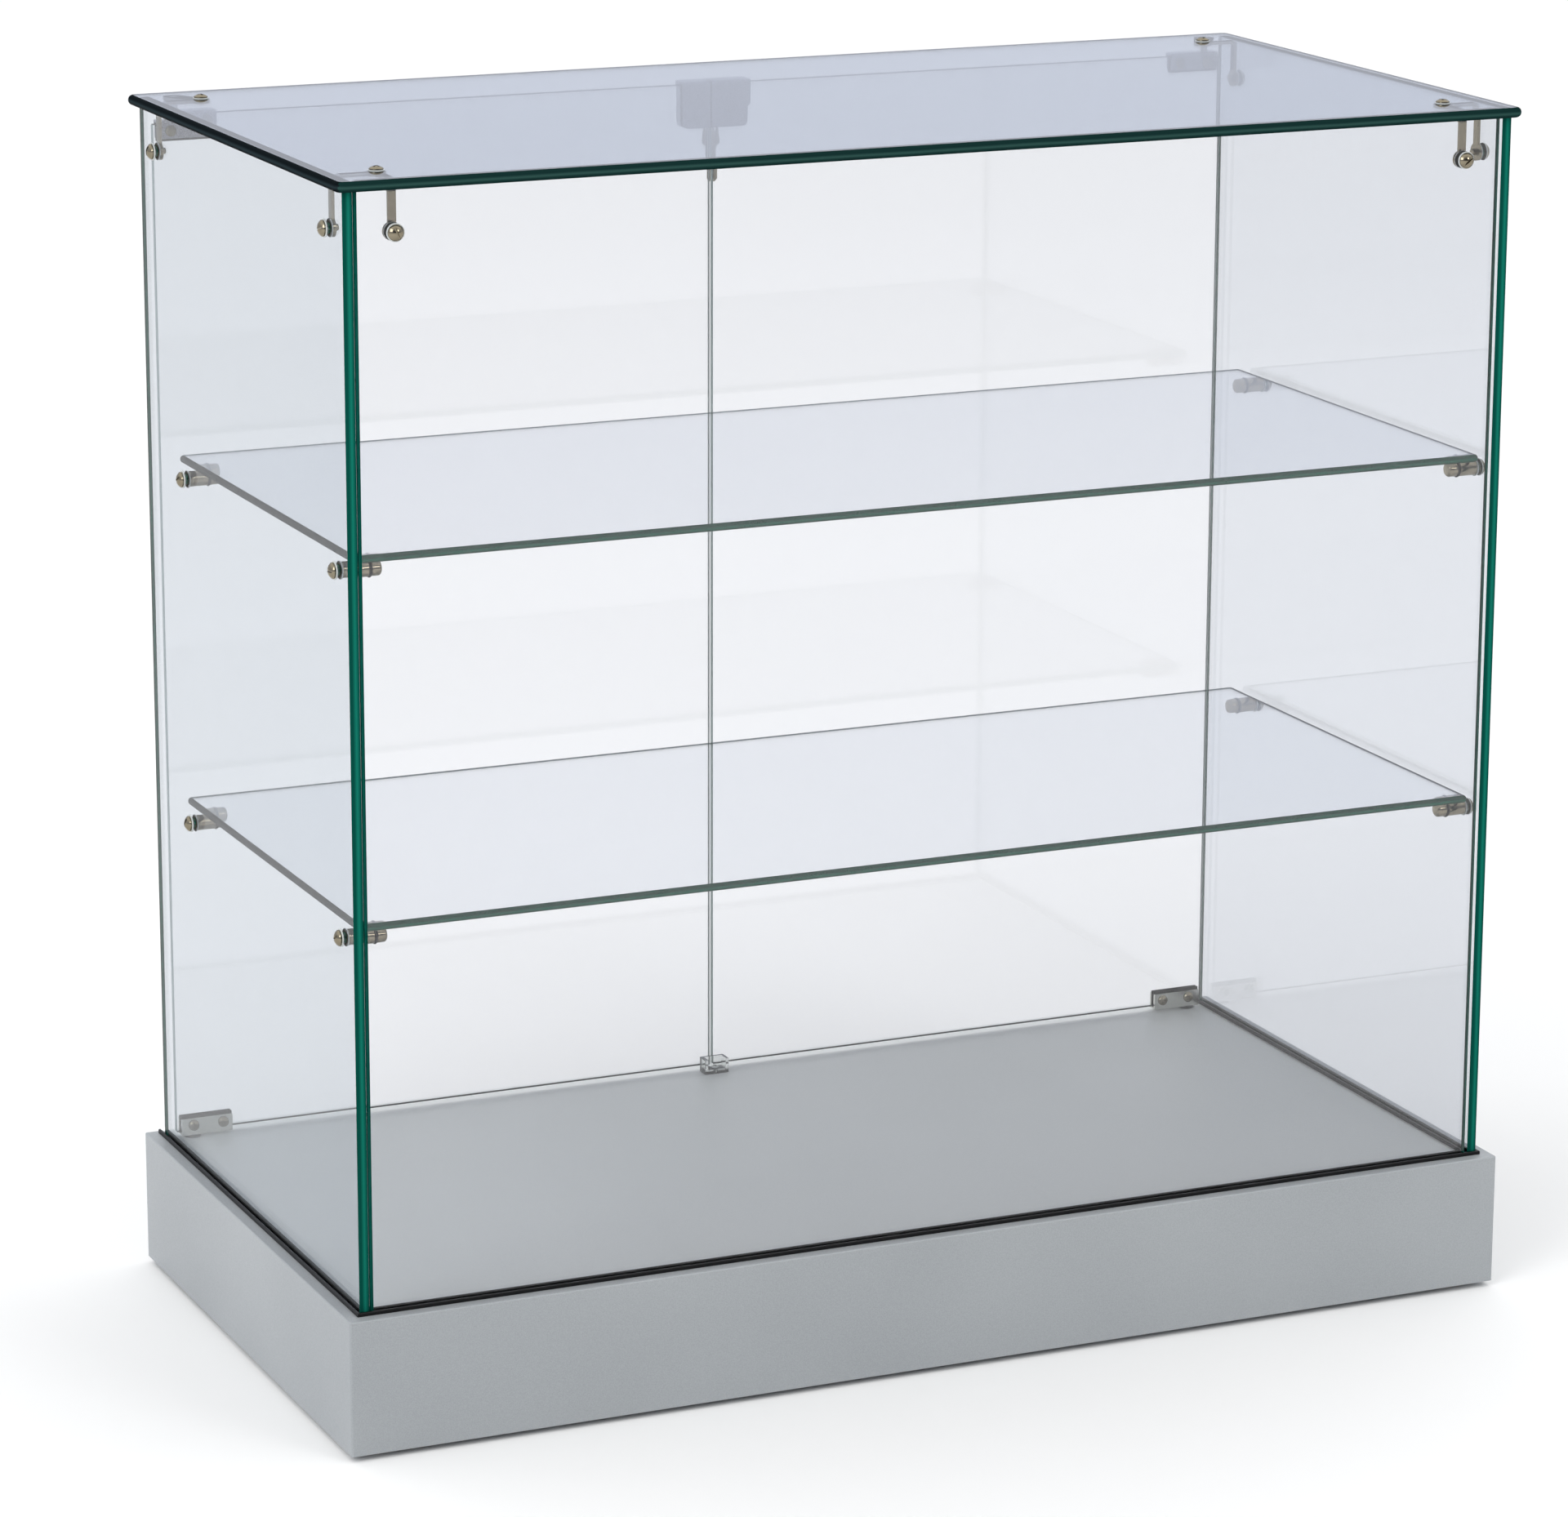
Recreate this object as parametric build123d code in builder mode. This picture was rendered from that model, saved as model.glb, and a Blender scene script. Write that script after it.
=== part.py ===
from build123d import *
import os
from math import asin, degrees, sqrt

os.makedirs("parts", exist_ok=True)

# Sizes are in millimetres. X runs to the right, Y to the back, Z up, and the floor is Z = 0.
# The origin is the middle of the floor under the plinth.

# Plinth
base_width = 1000.0
base_depth = 500.0
board_height = 108.0
board_thickness = 15.0
deck_thickness = 15.0
board_corner_radius = 2.0  # upright corners at the front
board_edge_radius = 1.2  # eased upper edges
deck_play = 0.2  # round the deck, between the boards
block_side = 48.0
block_cut = 20.0  # the corner taken off each inner block
cleat_side = 20.0
glide_diameter = 24.0
glide_height = 5.0
glide_inset = 40.0  # from the plinth's faces to a glide's middle
glide_screw_head = 8.0
glide_screw_shank = 4.0
glide_screw_length = 22.0
glide_screw_sink = 0.8  # from a glide's lower face up to its screw's head

# U-channels
ledge = 10.0  # bare edge of the plinth outside the channels
channel_wall = 2.25
channel_web = 2.0
channel_height = 12.0
channel_proud = 3.0  # how far a channel stands out of the deck
channel_rear_gap = 4.0
channel_lip_radius = 0.8
groove_play = 0.1

# Glass box
panel_thickness = 8.0
panel_play = 0.25
panel_height = 865.0
side_panel_setback = 13.5  # from the plinth's rear face to the side panels
corner_gap = 2.5  # between the front panel and a side panel
panel_arris = 0.6
top_thickness = 8.0
top_side_overhang = 7.0
top_front_overhang = 8.5
top_rear_setback = 0.0  # from the plinth's rear face to the top glass
top_corner_radius = 8.0
pencil_flat = 0.4  # flat left in the middle of a pencil-polished edge
glass_hole = 8.0

# Brackets at the upper corners
bracket_thickness = 2.5
bracket_arm = 6.4
bracket_boss = 15.0
bracket_end = 14.0
bracket_bend = 1.6  # inner radius of a bend
bracket_drop = 32.0  # from the top glass down to a leg's screw
bracket_side_gap = 32.5  # from a side panel to the bracket's screw through the top glass
bracket_front_gap = 30.5  # the same from the front panel
bracket_door_gap = 24.5  # the same from the middle of the doors' thickness
pivot_boss = 17.0

# Screws and washers
screw_shank = 5.0
thread_play = 0.02
top_head_diameter = 11.0
top_head_height = 2.9
sleeve_flange_diameter = 12.4
sleeve_flange = 0.6
sleeve_play = 0.2
dome_head_diameter = 12.5
dome_head_height = 4.6
dome_head_rim = 1.2
slot_width = 1.6
slot_depth = 1.6
cross_width = 1.5
cross_depth = 1.6
washer_diameter = 14.0
washer_thickness = 1.0
leg_screw_tip = 3.5  # what stands out behind a leg

# Shelves and their supports
shelf_thickness = 6.0
shelf_side_gap = 4.5  # between a shelf and a side panel
shelf_rear_gap = 46.0  # from a shelf to the doors
shelf_corner_radius = 4.0
shelf_front_gap = 5.5  # from the front glass to a shelf
upper_shelf_height = 580.0  # from the deck to its underside
lower_shelf_height = 298.0
shelf_rest_play = 0.3
pin_front_inset = 15.0  # from a shelf's front edge to its front pins
pin_rear_inset = 33.0
pin_diameter = 12.4
pin_body_length = 15.0  # from the washer to the ring
pin_stub_diameter = 12.0
pin_stub_length = 8.0
pin_groove_diameter = 9.2
pin_thread_depth = 12.0
ring_diameter = 13.8
ring_section = 2.4

# Doors
door_thickness = 5.0
door_setback = 24.0  # from the plinth's rear face to the doors' inner face
door_gap = 2.4
door_side_gap = 4.0
door_top_gap = 14.0  # from the top glass down to the doors
door_arris = 0.5
pivot_inset = 18.0  # from a side panel's inner face to the pivot
clamp_width = 44.0
clamp_height = 14.5
clamp_wall = 2.4
clamp_web = 2.0
clamp_floor_gap = 2.0
clamp_edge_inset = 3.5  # from a door's outer edge to its clamps
clamp_corner_radius = 1.0
gasket_thickness = 0.8
gasket_proud = 2.0  # the black line along a clamp's edge
clamp_screw_spacing = 25.5
clamp_screw_height = 8.3
clamp_screw_shank = 4.0
clamp_screw_head = 9.0
clamp_screw_dome = 3.2
pivot_diameter = 6.0
pivot_play = 0.05  # running fit, on the radius
pivot_depth = 8.0  # how deep a lower pin goes into the deck
bush_wall = 2.0
bush_flange_diameter = 15.0
bush_play = 0.3
top_bush_flange = 3.0

# Lock at the doors' upper middle corners
strike_width = 24.0
lock_case_width = 32.4
lock_step = 2.6  # the case's upper part is wider
lock_step_height = 20.0
lock_height = 38.5
lock_plate = 2.5
lock_depth = 9.0
lock_wall = 2.0
lock_web = 1.5
lock_face_gap = 0.6  # from the middle of the doors to each block
lock_corner_radius = 5.0
plug_height = 13.0  # from the blocks' lower edge to the plug's axis
plug_x = 8.4
plug_diameter = 12.0
plug_flange_diameter = 14.0
plug_flange = 1.4
plug_play = 0.05
boss_diameter = 15.0
boss_length = 6.0
keyway_width = 2.2
keyway_height = 6.6
cam_thickness = 2.0
cam_width = 8.0
cam_reach = 19.4  # from the plug's axis to the cam's tip
cam_play = 0.5
cam_screw_head = 6.0
cam_screw_shank = 3.0
set_screw_diameter = 4.0
set_screw_socket = 2.0
set_screw_spacing = 18.0

# Keys on their ring
key_ring_wire = 1.4
key_ring_play = 0.35
key_ring_radius = 12.2
key_thickness = 1.8
key_hole = 6.0
key_hang = 1.0  # from the ring's wire down to the middle of a key's hole
key_bow_top = 8.0
key_bow_bottom = 12.0
key_bow_height = 20.0
key_blade_width = 5.0
key_blade_length = 22.0
key_twist = 50.0  # degrees that a key hangs turned from the ring

# Door stop in the middle of the deck
stop_width = 22.0
stop_height = 13.0
stop_depth = 13.0
stop_wall = 3.0
stop_foot = 4.0
stop_play = 0.3
stop_screw_head = 7.0
stop_screw_shank = 3.5
stop_screw_length = 11.0

# Places that follow from the sizes above
half_width = base_width / 2
rear_y = base_depth / 2
front_y = -rear_y
deck_z = glide_height + board_height
channel_width = panel_thickness + 2 * (panel_play + channel_wall)
channel_z = deck_z + channel_proud - channel_height
panel_z = channel_z + channel_web
top_z = panel_z + panel_height
side_outer_x = half_width - ledge - channel_wall - panel_play
side_inner_x = side_outer_x - panel_thickness
panel_front_y = front_y + ledge + channel_wall + panel_play
front_inner_y = panel_front_y + panel_thickness
side_panel_depth = rear_y - side_panel_setback - panel_front_y
side_mid_y = panel_front_y + side_panel_depth / 2
leg_screw_z = top_z - bracket_drop
plate_z = top_z - bracket_thickness
door_inner_y = rear_y - door_setback
door_mid_y = door_inner_y + door_thickness / 2
door_outer_y = door_inner_y + door_thickness
door_outer_x = side_inner_x - door_side_gap
pivot_x = side_inner_x - pivot_inset
clamp_bottom_z = deck_z + clamp_floor_gap
door_bottom_z = clamp_bottom_z + clamp_web + gasket_thickness
door_top_z = top_z - door_top_gap
clamp_top_z = door_top_z + gasket_thickness + clamp_web
clamp_mid_x = door_outer_x - clamp_edge_inset - clamp_width / 2
slot_thickness = door_thickness + 2 * gasket_thickness
clamp_depth = slot_thickness + 2 * clamp_wall
pin_axis_drop = shelf_rest_play + ring_diameter / 2
bracket_x = side_inner_x - bracket_side_gap
front_bracket_y = front_inner_y + bracket_front_gap
rear_bracket_y = door_mid_y - bracket_door_gap
shelf_levels = {"upper": deck_z + upper_shelf_height, "lower": deck_z + lower_shelf_height}
shelf_front_y = front_inner_y + shelf_front_gap
shelf_rear_y = door_inner_y - shelf_rear_gap
shelf_width = 2 * (side_inner_x - shelf_side_gap)
pin_front_y = shelf_front_y + pin_front_inset
pin_rear_y = shelf_rear_y - pin_rear_inset
lock_top_z = door_top_z + gasket_thickness + lock_web
lock_bottom_z = lock_top_z - lock_height
lock_front_y = door_inner_y - gasket_thickness - lock_plate
lock_back_y = door_outer_y + gasket_thickness  # where the rear housings start
lock_rear_y = lock_back_y + lock_depth
plug_z = lock_bottom_z + plug_height
plug_end_y = lock_rear_y + boss_length
cavity_depth = lock_depth - lock_wall - lock_wall / 2
cam_front_y = lock_rear_y - lock_wall - plug_flange - cam_thickness - plug_play
plug_front_y = cam_front_y + cam_thickness
sides = {"left": -1, "right": 1}


def save(part, name):
    part.label = name
    export_step(part, f"parts/{name}.step")


def copies(part, planes):
    """One group of the same piece, set on each of the planes."""
    with BuildPart() as group:
        with Locations(*planes):
            add(part)
    return group.part


def screw(head, height, rim, shank, length, slotted):
    """A domed screw, its head's underside on Z = 0 and its shank below."""
    rise = height - rim
    dome = (head * head / 4 + rise * rise) / (2 * rise)
    spread = degrees(asin(head / 2 / dome))
    with BuildPart() as body:
        with BuildSketch(Plane.XZ):
            with BuildLine():
                Polyline((0, height), (0, -length), (shank / 2, -length), (shank / 2, 0),
                         (head / 2, 0), (head / 2, rim))
                CenterArc((0, height - dome), dome, 90 - spread, spread)
            make_face()
        revolve(axis=Axis.Z)
        with BuildSketch(Plane.XY.offset(height)):
            if slotted:
                Rectangle(slot_width, head * 1.1)
            else:
                Rectangle(cross_width, head * 0.56)
                Rectangle(head * 0.56, cross_width)
        extrude(amount=-(slot_depth if slotted else cross_depth), mode=Mode.SUBTRACT)
    return body.part


def washer(outer, hole, thickness):
    """A flat ring, its underside on Z = 0."""
    with BuildPart() as ring:
        with BuildSketch():
            Circle(outer / 2)
            Circle(hole / 2, mode=Mode.SUBTRACT)
        extrude(amount=thickness)
    return ring.part


def bored_panel(plane, width, height, thickness, holes, arris):
    """A glass panel with eased edges, its lower edge's middle on the plane's origin."""
    with BuildPart() as panel:
        with BuildSketch(plane):
            Rectangle(width, height, align=(Align.CENTER, Align.MIN))
            for point in holes:
                with Locations(point):
                    Circle(glass_hole / 2, mode=Mode.SUBTRACT)
        extrude(amount=thickness)
        chamfer(panel.edges().filter_by(GeomType.LINE), length=arris)
    return panel.part


def pencil_panel(mid_y, z, width, depth, thickness, corner, holes):
    """A level sheet of glass with rounded corners and half-round edges."""
    with BuildPart() as sheet:
        with BuildSketch(Plane.XY.offset(z)):
            with Locations((0, mid_y)):
                RectangleRounded(width, depth, corner)
        extrude(amount=thickness)
        rims = sheet.faces().filter_by(Axis.Z).edges()
        fillet(rims, radius=(thickness - pencil_flat) / 2)
        if holes:
            with BuildSketch(Plane.XY.offset(z)):
                with Locations(*holes):
                    Circle(glass_hole / 2)
            extrude(amount=thickness, mode=Mode.SUBTRACT)
    return sheet.part


# Grooves that the channels stand in, cut from the deck and from the boards round it
with BuildPart() as grooves:
    with BuildSketch(Plane.XY.offset(channel_z)):
        with Locations((0, front_y + ledge - groove_play)):
            Rectangle(2 * (half_width - ledge + groove_play), channel_width + 2 * groove_play,
                      align=(Align.CENTER, Align.MIN))
        for side in sides.values():
            with Locations((side * (half_width - ledge - channel_width / 2),
                            front_y + ledge - groove_play)):
                Rectangle(channel_width + 2 * groove_play,
                          base_depth - ledge - channel_rear_gap + 2 * groove_play,
                          align=(Align.CENTER, Align.MIN))
    extrude(amount=channel_height)


def ease_upper_edges(board):
    """Rounds the upper edges of a board that lie on the plinth's outer faces."""
    upper = board.faces().sort_by(Axis.Z)[-1].edges()
    inner_x = half_width - board_corner_radius - 1
    outer = [e for e in upper if abs(e.center().X) > inner_x or e.center().Y < front_y + 1]
    fillet(outer, radius=board_edge_radius)


# Plinth boards: the front is mitred to the sides, and the rear stands between them
with BuildPart() as base_front_board:
    with BuildSketch(Plane.XY.offset(glide_height)):
        with BuildLine():
            Polyline((-half_width, front_y), (half_width, front_y),
                     (half_width - board_thickness, front_y + board_thickness),
                     (-half_width + board_thickness, front_y + board_thickness), close=True)
        make_face()
        RectangleRounded(base_width, base_depth, board_corner_radius, mode=Mode.INTERSECT)
    extrude(amount=board_height)
    ease_upper_edges(base_front_board)
    add(grooves.part, mode=Mode.SUBTRACT)
save(base_front_board.part, "base_front_board")

for side_name, side in sides.items():
    with BuildPart() as base_side_board:
        with BuildSketch(Plane.XY.offset(glide_height)):
            with BuildLine():
                Polyline((side * half_width, front_y), (side * half_width, rear_y),
                         (side * (half_width - board_thickness), rear_y),
                         (side * (half_width - board_thickness), front_y + board_thickness),
                         close=True)
            make_face()
            with Locations((0, board_corner_radius)):
                RectangleRounded(base_width, base_depth + 2 * board_corner_radius,
                                 board_corner_radius, mode=Mode.INTERSECT)
        extrude(amount=board_height)
        ease_upper_edges(base_side_board)
        add(grooves.part, mode=Mode.SUBTRACT)
    save(base_side_board.part, f"base_{side_name}_board")

inner_width = base_width - 2 * board_thickness
under_deck = board_height - deck_thickness
with BuildPart() as base_rear_board:
    with BuildSketch(Plane.XY.offset(glide_height)):
        with Locations((0, rear_y)):
            Rectangle(inner_width, board_thickness, align=(Align.CENTER, Align.MAX))
    extrude(amount=under_deck)
save(base_rear_board.part, "base_rear_board")

# Deck: let in behind the front board and between the side boards, over the rear board
stop_rear_y = door_inner_y - stop_play
stop_mid_y = stop_rear_y - stop_depth / 2
stop_screw_y = stop_rear_y - stop_wall - (stop_depth - stop_wall) / 2
bush_diameter = pivot_diameter + 2 * pivot_play + 2 * bush_wall
with BuildPart() as deck_panel:
    with BuildSketch(Plane.XY.offset(deck_z)):
        with Locations((0, rear_y)):
            Rectangle(inner_width - 2 * deck_play,
                      base_depth - board_thickness - deck_play,
                      align=(Align.CENTER, Align.MAX))
    extrude(amount=-deck_thickness)
    add(grooves.part, mode=Mode.SUBTRACT)
    with Locations(*[(side * pivot_x, door_mid_y, deck_z) for side in sides.values()]):
        Hole(bush_diameter / 2, depth=pivot_depth + bush_wall)
    with Locations((0, stop_screw_y, deck_z)):
        Hole(stop_screw_shank / 2 + thread_play, depth=stop_screw_length - stop_foot + 1)
save(deck_panel.part, "deck_panel")

# Blocks in the plinth's four inner corners, each with one corner taken off
block_centres = []
with BuildPart() as corner_blocks:
    for side in sides.values():
        for end, wall_y in ((1, front_y + board_thickness), (-1, rear_y - board_thickness)):
            wall_x = side * (half_width - board_thickness)
            with BuildSketch(Plane.XY.offset(glide_height)):
                with BuildLine():
                    Polyline((wall_x, wall_y), (wall_x - side * block_side, wall_y),
                             (wall_x - side * block_side, wall_y + end * (block_side - block_cut)),
                             (wall_x - side * (block_side - block_cut), wall_y + end * block_side),
                             (wall_x, wall_y + end * block_side), close=True)
                make_face()
            extrude(amount=under_deck)
    glide_planes = [Plane((side * (half_width - glide_inset), end * (rear_y - glide_inset), 0))
                    for side in sides.values() for end in (-1, 1)]
    with Locations(*glide_planes):
        with Locations((0, 0, glide_height)):
            Cylinder(glide_screw_shank / 2 + thread_play, glide_screw_length,
                     align=(Align.CENTER, Align.CENTER, Align.MIN), mode=Mode.SUBTRACT)
save(corner_blocks.part, "corner_blocks")

with BuildPart() as deck_cleats:
    with BuildSketch(Plane.XY.offset(glide_height + under_deck)):
        for end in (-1, 1):
            with Locations((0, end * (rear_y - board_thickness - cleat_side / 2))):
                Rectangle(inner_width - 2 * block_side, cleat_side)
    extrude(amount=-cleat_side)
save(deck_cleats.part, "deck_cleats")

# Glides: round feet with a rounded lower rim and a sunk screw
with BuildPart() as glide:
    with BuildSketch():
        Circle(glide_diameter / 2)
    extrude(amount=glide_height)
    fillet(glide.edges().sort_by(Axis.Z)[0], radius=glide_height / 4)
    with Locations(Plane(origin=(0, 0, 0), z_dir=(0, 0, -1))):
        CounterSinkHole(glide_screw_shank / 2 + thread_play,
                        glide_screw_head / 2 + glide_screw_sink + sleeve_play / 2,
                        depth=glide_height, counter_sink_angle=90)
save(copies(glide.part, glide_planes), "glides")

neck_z = glide_screw_sink + (glide_screw_head - glide_screw_shank) / 2
tip_z = glide_height + glide_screw_length - 1
with BuildPart() as glide_screw:
    with BuildSketch(Plane.XZ):
        with BuildLine():
            Polyline((0, glide_screw_sink), (glide_screw_head / 2, glide_screw_sink),
                     (glide_screw_shank / 2, neck_z),
                     (glide_screw_shank / 2, tip_z - glide_screw_shank / 2),
                     (0, tip_z), close=True)
        make_face()
    revolve(axis=Axis.Z)
save(copies(glide_screw.part, glide_planes), "glide_screws")


def channel(outline, slot, name):
    """A U-channel: its outline from above, and the slot that the glass stands in."""
    with BuildPart() as body:
        with BuildSketch(Plane.XY.offset(channel_z)):
            with BuildLine():
                Polyline(*outline, close=True)
            make_face()
        extrude(amount=channel_height)
        with BuildSketch(Plane.XY.offset(channel_z + channel_web)):
            with Locations(slot[0]):
                Rectangle(*slot[1])
        extrude(amount=channel_height - channel_web, mode=Mode.SUBTRACT)
        lips = body.faces().filter_by(Axis.Z).sort_by(Axis.Z)[-2:]
        length = max(edge.length for edge in lips.edges())
        fillet([e for e in lips.edges() if e.length > length * 0.9], radius=channel_lip_radius)
    save(body.part, name)


outer_x = half_width - ledge
outer_y = front_y + ledge
slot_width_y = channel_width - 2 * channel_wall
channel([(-outer_x, outer_y), (outer_x, outer_y),
         (outer_x - channel_width, outer_y + channel_width),
         (-outer_x + channel_width, outer_y + channel_width)],
        ((0, outer_y + channel_width / 2), (base_width, slot_width_y)), "channel_front")
channel_end_y = rear_y - channel_rear_gap
for side_name, side in sides.items():
    channel([(side * outer_x, outer_y), (side * outer_x, channel_end_y),
             (side * (outer_x - channel_width), channel_end_y),
             (side * (outer_x - channel_width), outer_y + channel_width)],
            ((side * (outer_x - channel_width / 2), 0), (slot_width_y, base_depth)),
            f"channel_{side_name}")

# Upright glass
front_width = 2 * (side_inner_x - corner_gap)
leg_z = leg_screw_z - panel_z
front_plane = Plane((0, panel_front_y, panel_z), x_dir=(-1, 0, 0), z_dir=(0, 1, 0))
save(bored_panel(front_plane, front_width, panel_height, panel_thickness,
                 [(-bracket_x, leg_z), (bracket_x, leg_z)], panel_arris), "front_glass")
pin_holes = [(y - side_mid_y, level - pin_axis_drop - panel_z)
             for level in shelf_levels.values() for y in (pin_front_y, pin_rear_y)]
leg_holes = [(y - side_mid_y, leg_z) for y in (front_bracket_y, rear_bracket_y)]
for side_name, side in sides.items():
    side_plane = Plane((side_inner_x if side > 0 else -side_outer_x, side_mid_y, panel_z),
                       x_dir=(0, 1, 0), z_dir=(1, 0, 0))
    save(bored_panel(side_plane, side_panel_depth, panel_height, panel_thickness,
                     pin_holes + leg_holes, panel_arris), f"{side_name}_glass")

# Top glass
top_front_y = panel_front_y - top_front_overhang
top_depth = rear_y - top_rear_setback - top_front_y
top_width = 2 * (side_outer_x + top_side_overhang)
top_screw_points = [(side * bracket_x, y)
                    for side in sides.values() for y in (front_bracket_y, rear_bracket_y)]
save(pencil_panel(top_front_y + top_depth / 2, top_z, top_width, top_depth, top_thickness,
                  top_corner_radius, top_screw_points), "top_glass")

# Corner brackets: a plate under the top glass with bent legs along the upright glass
leg_x = side_inner_x - washer_thickness  # outer face of a side leg
leg_y = front_inner_y + washer_thickness  # front face of a front leg
thread_radius = screw_shank / 2 + thread_play


def bracket_leg(plane):
    """A leg with a threaded round end, on a plane whose Y runs down."""
    with BuildPart() as leg:
        with BuildSketch(plane):
            with Locations((0, bracket_drop / 2)):
                Rectangle(bracket_arm, bracket_drop)
            with Locations((0, bracket_drop)):
                Circle(bracket_end / 2)
                Circle(thread_radius, mode=Mode.SUBTRACT)
        extrude(amount=bracket_thickness)
    return leg.part


def corner_bracket(side, screw_y, at_front):
    """A bracket's plate with its bent legs; a rear one also carries a door's upper pivot."""
    screw_x = side * bracket_x
    leg_planes = {Axis.Y: Plane((side * leg_x, screw_y, top_z), x_dir=(0, side, 0),
                                z_dir=(-side, 0, 0))}
    if at_front:
        leg_planes[Axis.X] = Plane((screw_x, leg_y, top_z), x_dir=(1, 0, 0), z_dir=(0, 1, 0))
    with BuildPart() as bracket:
        with BuildSketch(Plane.XY.offset(top_z)):
            with Locations((screw_x, screw_y)):
                Circle(bracket_boss / 2)
            if at_front:
                with Locations((screw_x, (leg_y + screw_y) / 2)):
                    Rectangle(bracket_arm, screw_y - leg_y)
            else:
                with Locations((side * pivot_x, door_mid_y)):
                    Circle(pivot_boss / 2)
                make_hull()
            with Locations(((screw_x + side * leg_x) / 2, screw_y)):
                Rectangle(leg_x - bracket_x, bracket_arm)
        extrude(amount=-bracket_thickness)
        for length_axis, plane in leg_planes.items():
            add(bracket_leg(plane))
            inner = plane.origin + (plane.z_dir + plane.y_dir) * bracket_thickness
            bends = bracket.edges().filter_by(length_axis)
            fillet(bends.sort_by_distance(plane.origin)[0],
                   radius=bracket_bend + bracket_thickness / 2)
            bends = bracket.edges().filter_by(length_axis)
            fillet(bends.sort_by_distance(inner)[0], radius=bracket_bend)
        if not at_front:
            with Locations((side * pivot_x, door_mid_y, top_z)):
                Hole(bush_diameter / 2)
        with Locations((screw_x, screw_y, top_z)):
            Hole(thread_radius)
    return bracket.part


for side_name, side in sides.items():
    save(corner_bracket(side, front_bracket_y, True), f"front_{side_name}_bracket")
    save(corner_bracket(side, rear_bracket_y, False), f"rear_{side_name}_bracket")

# Top screws in thin sleeves, down through the glass into the brackets
top_surface_z = top_z + top_thickness
top_planes = [Plane((x, y, top_surface_z)) for x, y in top_screw_points]
with BuildPart() as sleeve:
    with BuildSketch():
        Circle(glass_hole / 2 - sleeve_play)
    extrude(amount=-top_thickness)
    with BuildSketch():
        Circle(sleeve_flange_diameter / 2)
    extrude(amount=sleeve_flange)
    with Locations((0, 0, sleeve_flange)):
        Hole(screw_shank / 2 + sleeve_play)
save(copies(sleeve.part, top_planes), "top_screw_sleeves")
top_screw = screw(top_head_diameter, top_head_height, top_head_height / 3, screw_shank,
                  sleeve_flange + top_thickness + bracket_thickness, False)
save(copies(top_screw, [plane.offset(sleeve_flange) for plane in top_planes]), "top_screws")

# Leg screws with a clear washer on each face of the glass
leg_planes = [Plane((side * side_outer_x, y, leg_screw_z), z_dir=(side, 0, 0))
              for side in sides.values() for y in (front_bracket_y, rear_bracket_y)]
leg_planes += [Plane((side * bracket_x, panel_front_y, leg_screw_z), z_dir=(0, -1, 0))
               for side in sides.values()]
clear_washer = washer(washer_diameter, screw_shank + 2 * sleeve_play, washer_thickness)
under_washers = -panel_thickness - washer_thickness
save(copies(clear_washer, leg_planes + [plane.offset(under_washers) for plane in leg_planes]),
     "leg_washers")
leg_screw = screw(dome_head_diameter, dome_head_height, dome_head_rim, screw_shank,
                  panel_thickness + 2 * washer_thickness + bracket_thickness + leg_screw_tip, True)
save(copies(leg_screw, [plane.offset(washer_thickness) for plane in leg_planes]), "leg_screws")

# Shelf supports: a turned pin inside the glass, with a black ring that the shelf lies on
pin_length = pin_body_length + ring_section + pin_stub_length
groove_start = pin_body_length
with BuildPart() as shelf_pin:
    with BuildSketch(Plane.XZ):
        with BuildLine():
            Polyline((0, 0), (pin_diameter / 2, 0), (pin_diameter / 2, groove_start),
                     (pin_groove_diameter / 2, groove_start),
                     (pin_groove_diameter / 2, groove_start + ring_section),
                     (pin_stub_diameter / 2, groove_start + ring_section),
                     (pin_stub_diameter / 2, pin_length), (0, pin_length), close=True)
        make_face()
    revolve(axis=Axis.Z)
    rims = shelf_pin.faces().filter_by(Axis.Z).sort_by(Axis.Z)
    fillet(rims[-1].edges(), radius=pin_stub_diameter / 5)
    with Locations(Plane(origin=(0, 0, 0), z_dir=(0, 0, -1))):
        Hole(thread_radius, depth=pin_thread_depth)

with BuildPart() as pin_ring:
    with BuildSketch(Plane.XZ):
        with Locations((ring_diameter / 2, 0)):
            Rectangle((ring_diameter - pin_groove_diameter) / 2, ring_section,
                      align=(Align.MAX, Align.MIN))
    revolve(axis=Axis.Z)
    outer_rims = pin_ring.edges().filter_by(GeomType.CIRCLE).sort_by(SortBy.RADIUS)[-2:]
    fillet(outer_rims, radius=ring_section * 0.42)

pin_planes = {}
for shelf_name, level in shelf_levels.items():
    outside = [Plane((side * side_outer_x, y, level - pin_axis_drop), z_dir=(side, 0, 0))
               for side in sides.values() for y in (pin_front_y, pin_rear_y)]
    inside = [Plane((side * leg_x, y, level - pin_axis_drop), z_dir=(-side, 0, 0))
              for side in sides.values() for y in (pin_front_y, pin_rear_y)]
    pin_planes[shelf_name] = outside
    save(copies(shelf_pin.part, inside), f"{shelf_name}_shelf_pins")
    save(copies(pin_ring.part, [plane.offset(groove_start) for plane in inside]),
         f"{shelf_name}_pin_rings")
all_pin_planes = pin_planes["upper"] + pin_planes["lower"]
pin_screw = screw(dome_head_diameter, dome_head_height, dome_head_rim, screw_shank,
                  panel_thickness + 2 * washer_thickness + pin_thread_depth - 1, True)
save(copies(pin_screw, [plane.offset(washer_thickness) for plane in all_pin_planes]),
     "pin_screws")
save(copies(clear_washer,
            all_pin_planes + [plane.offset(under_washers) for plane in all_pin_planes]),
     "pin_washers")

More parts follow.
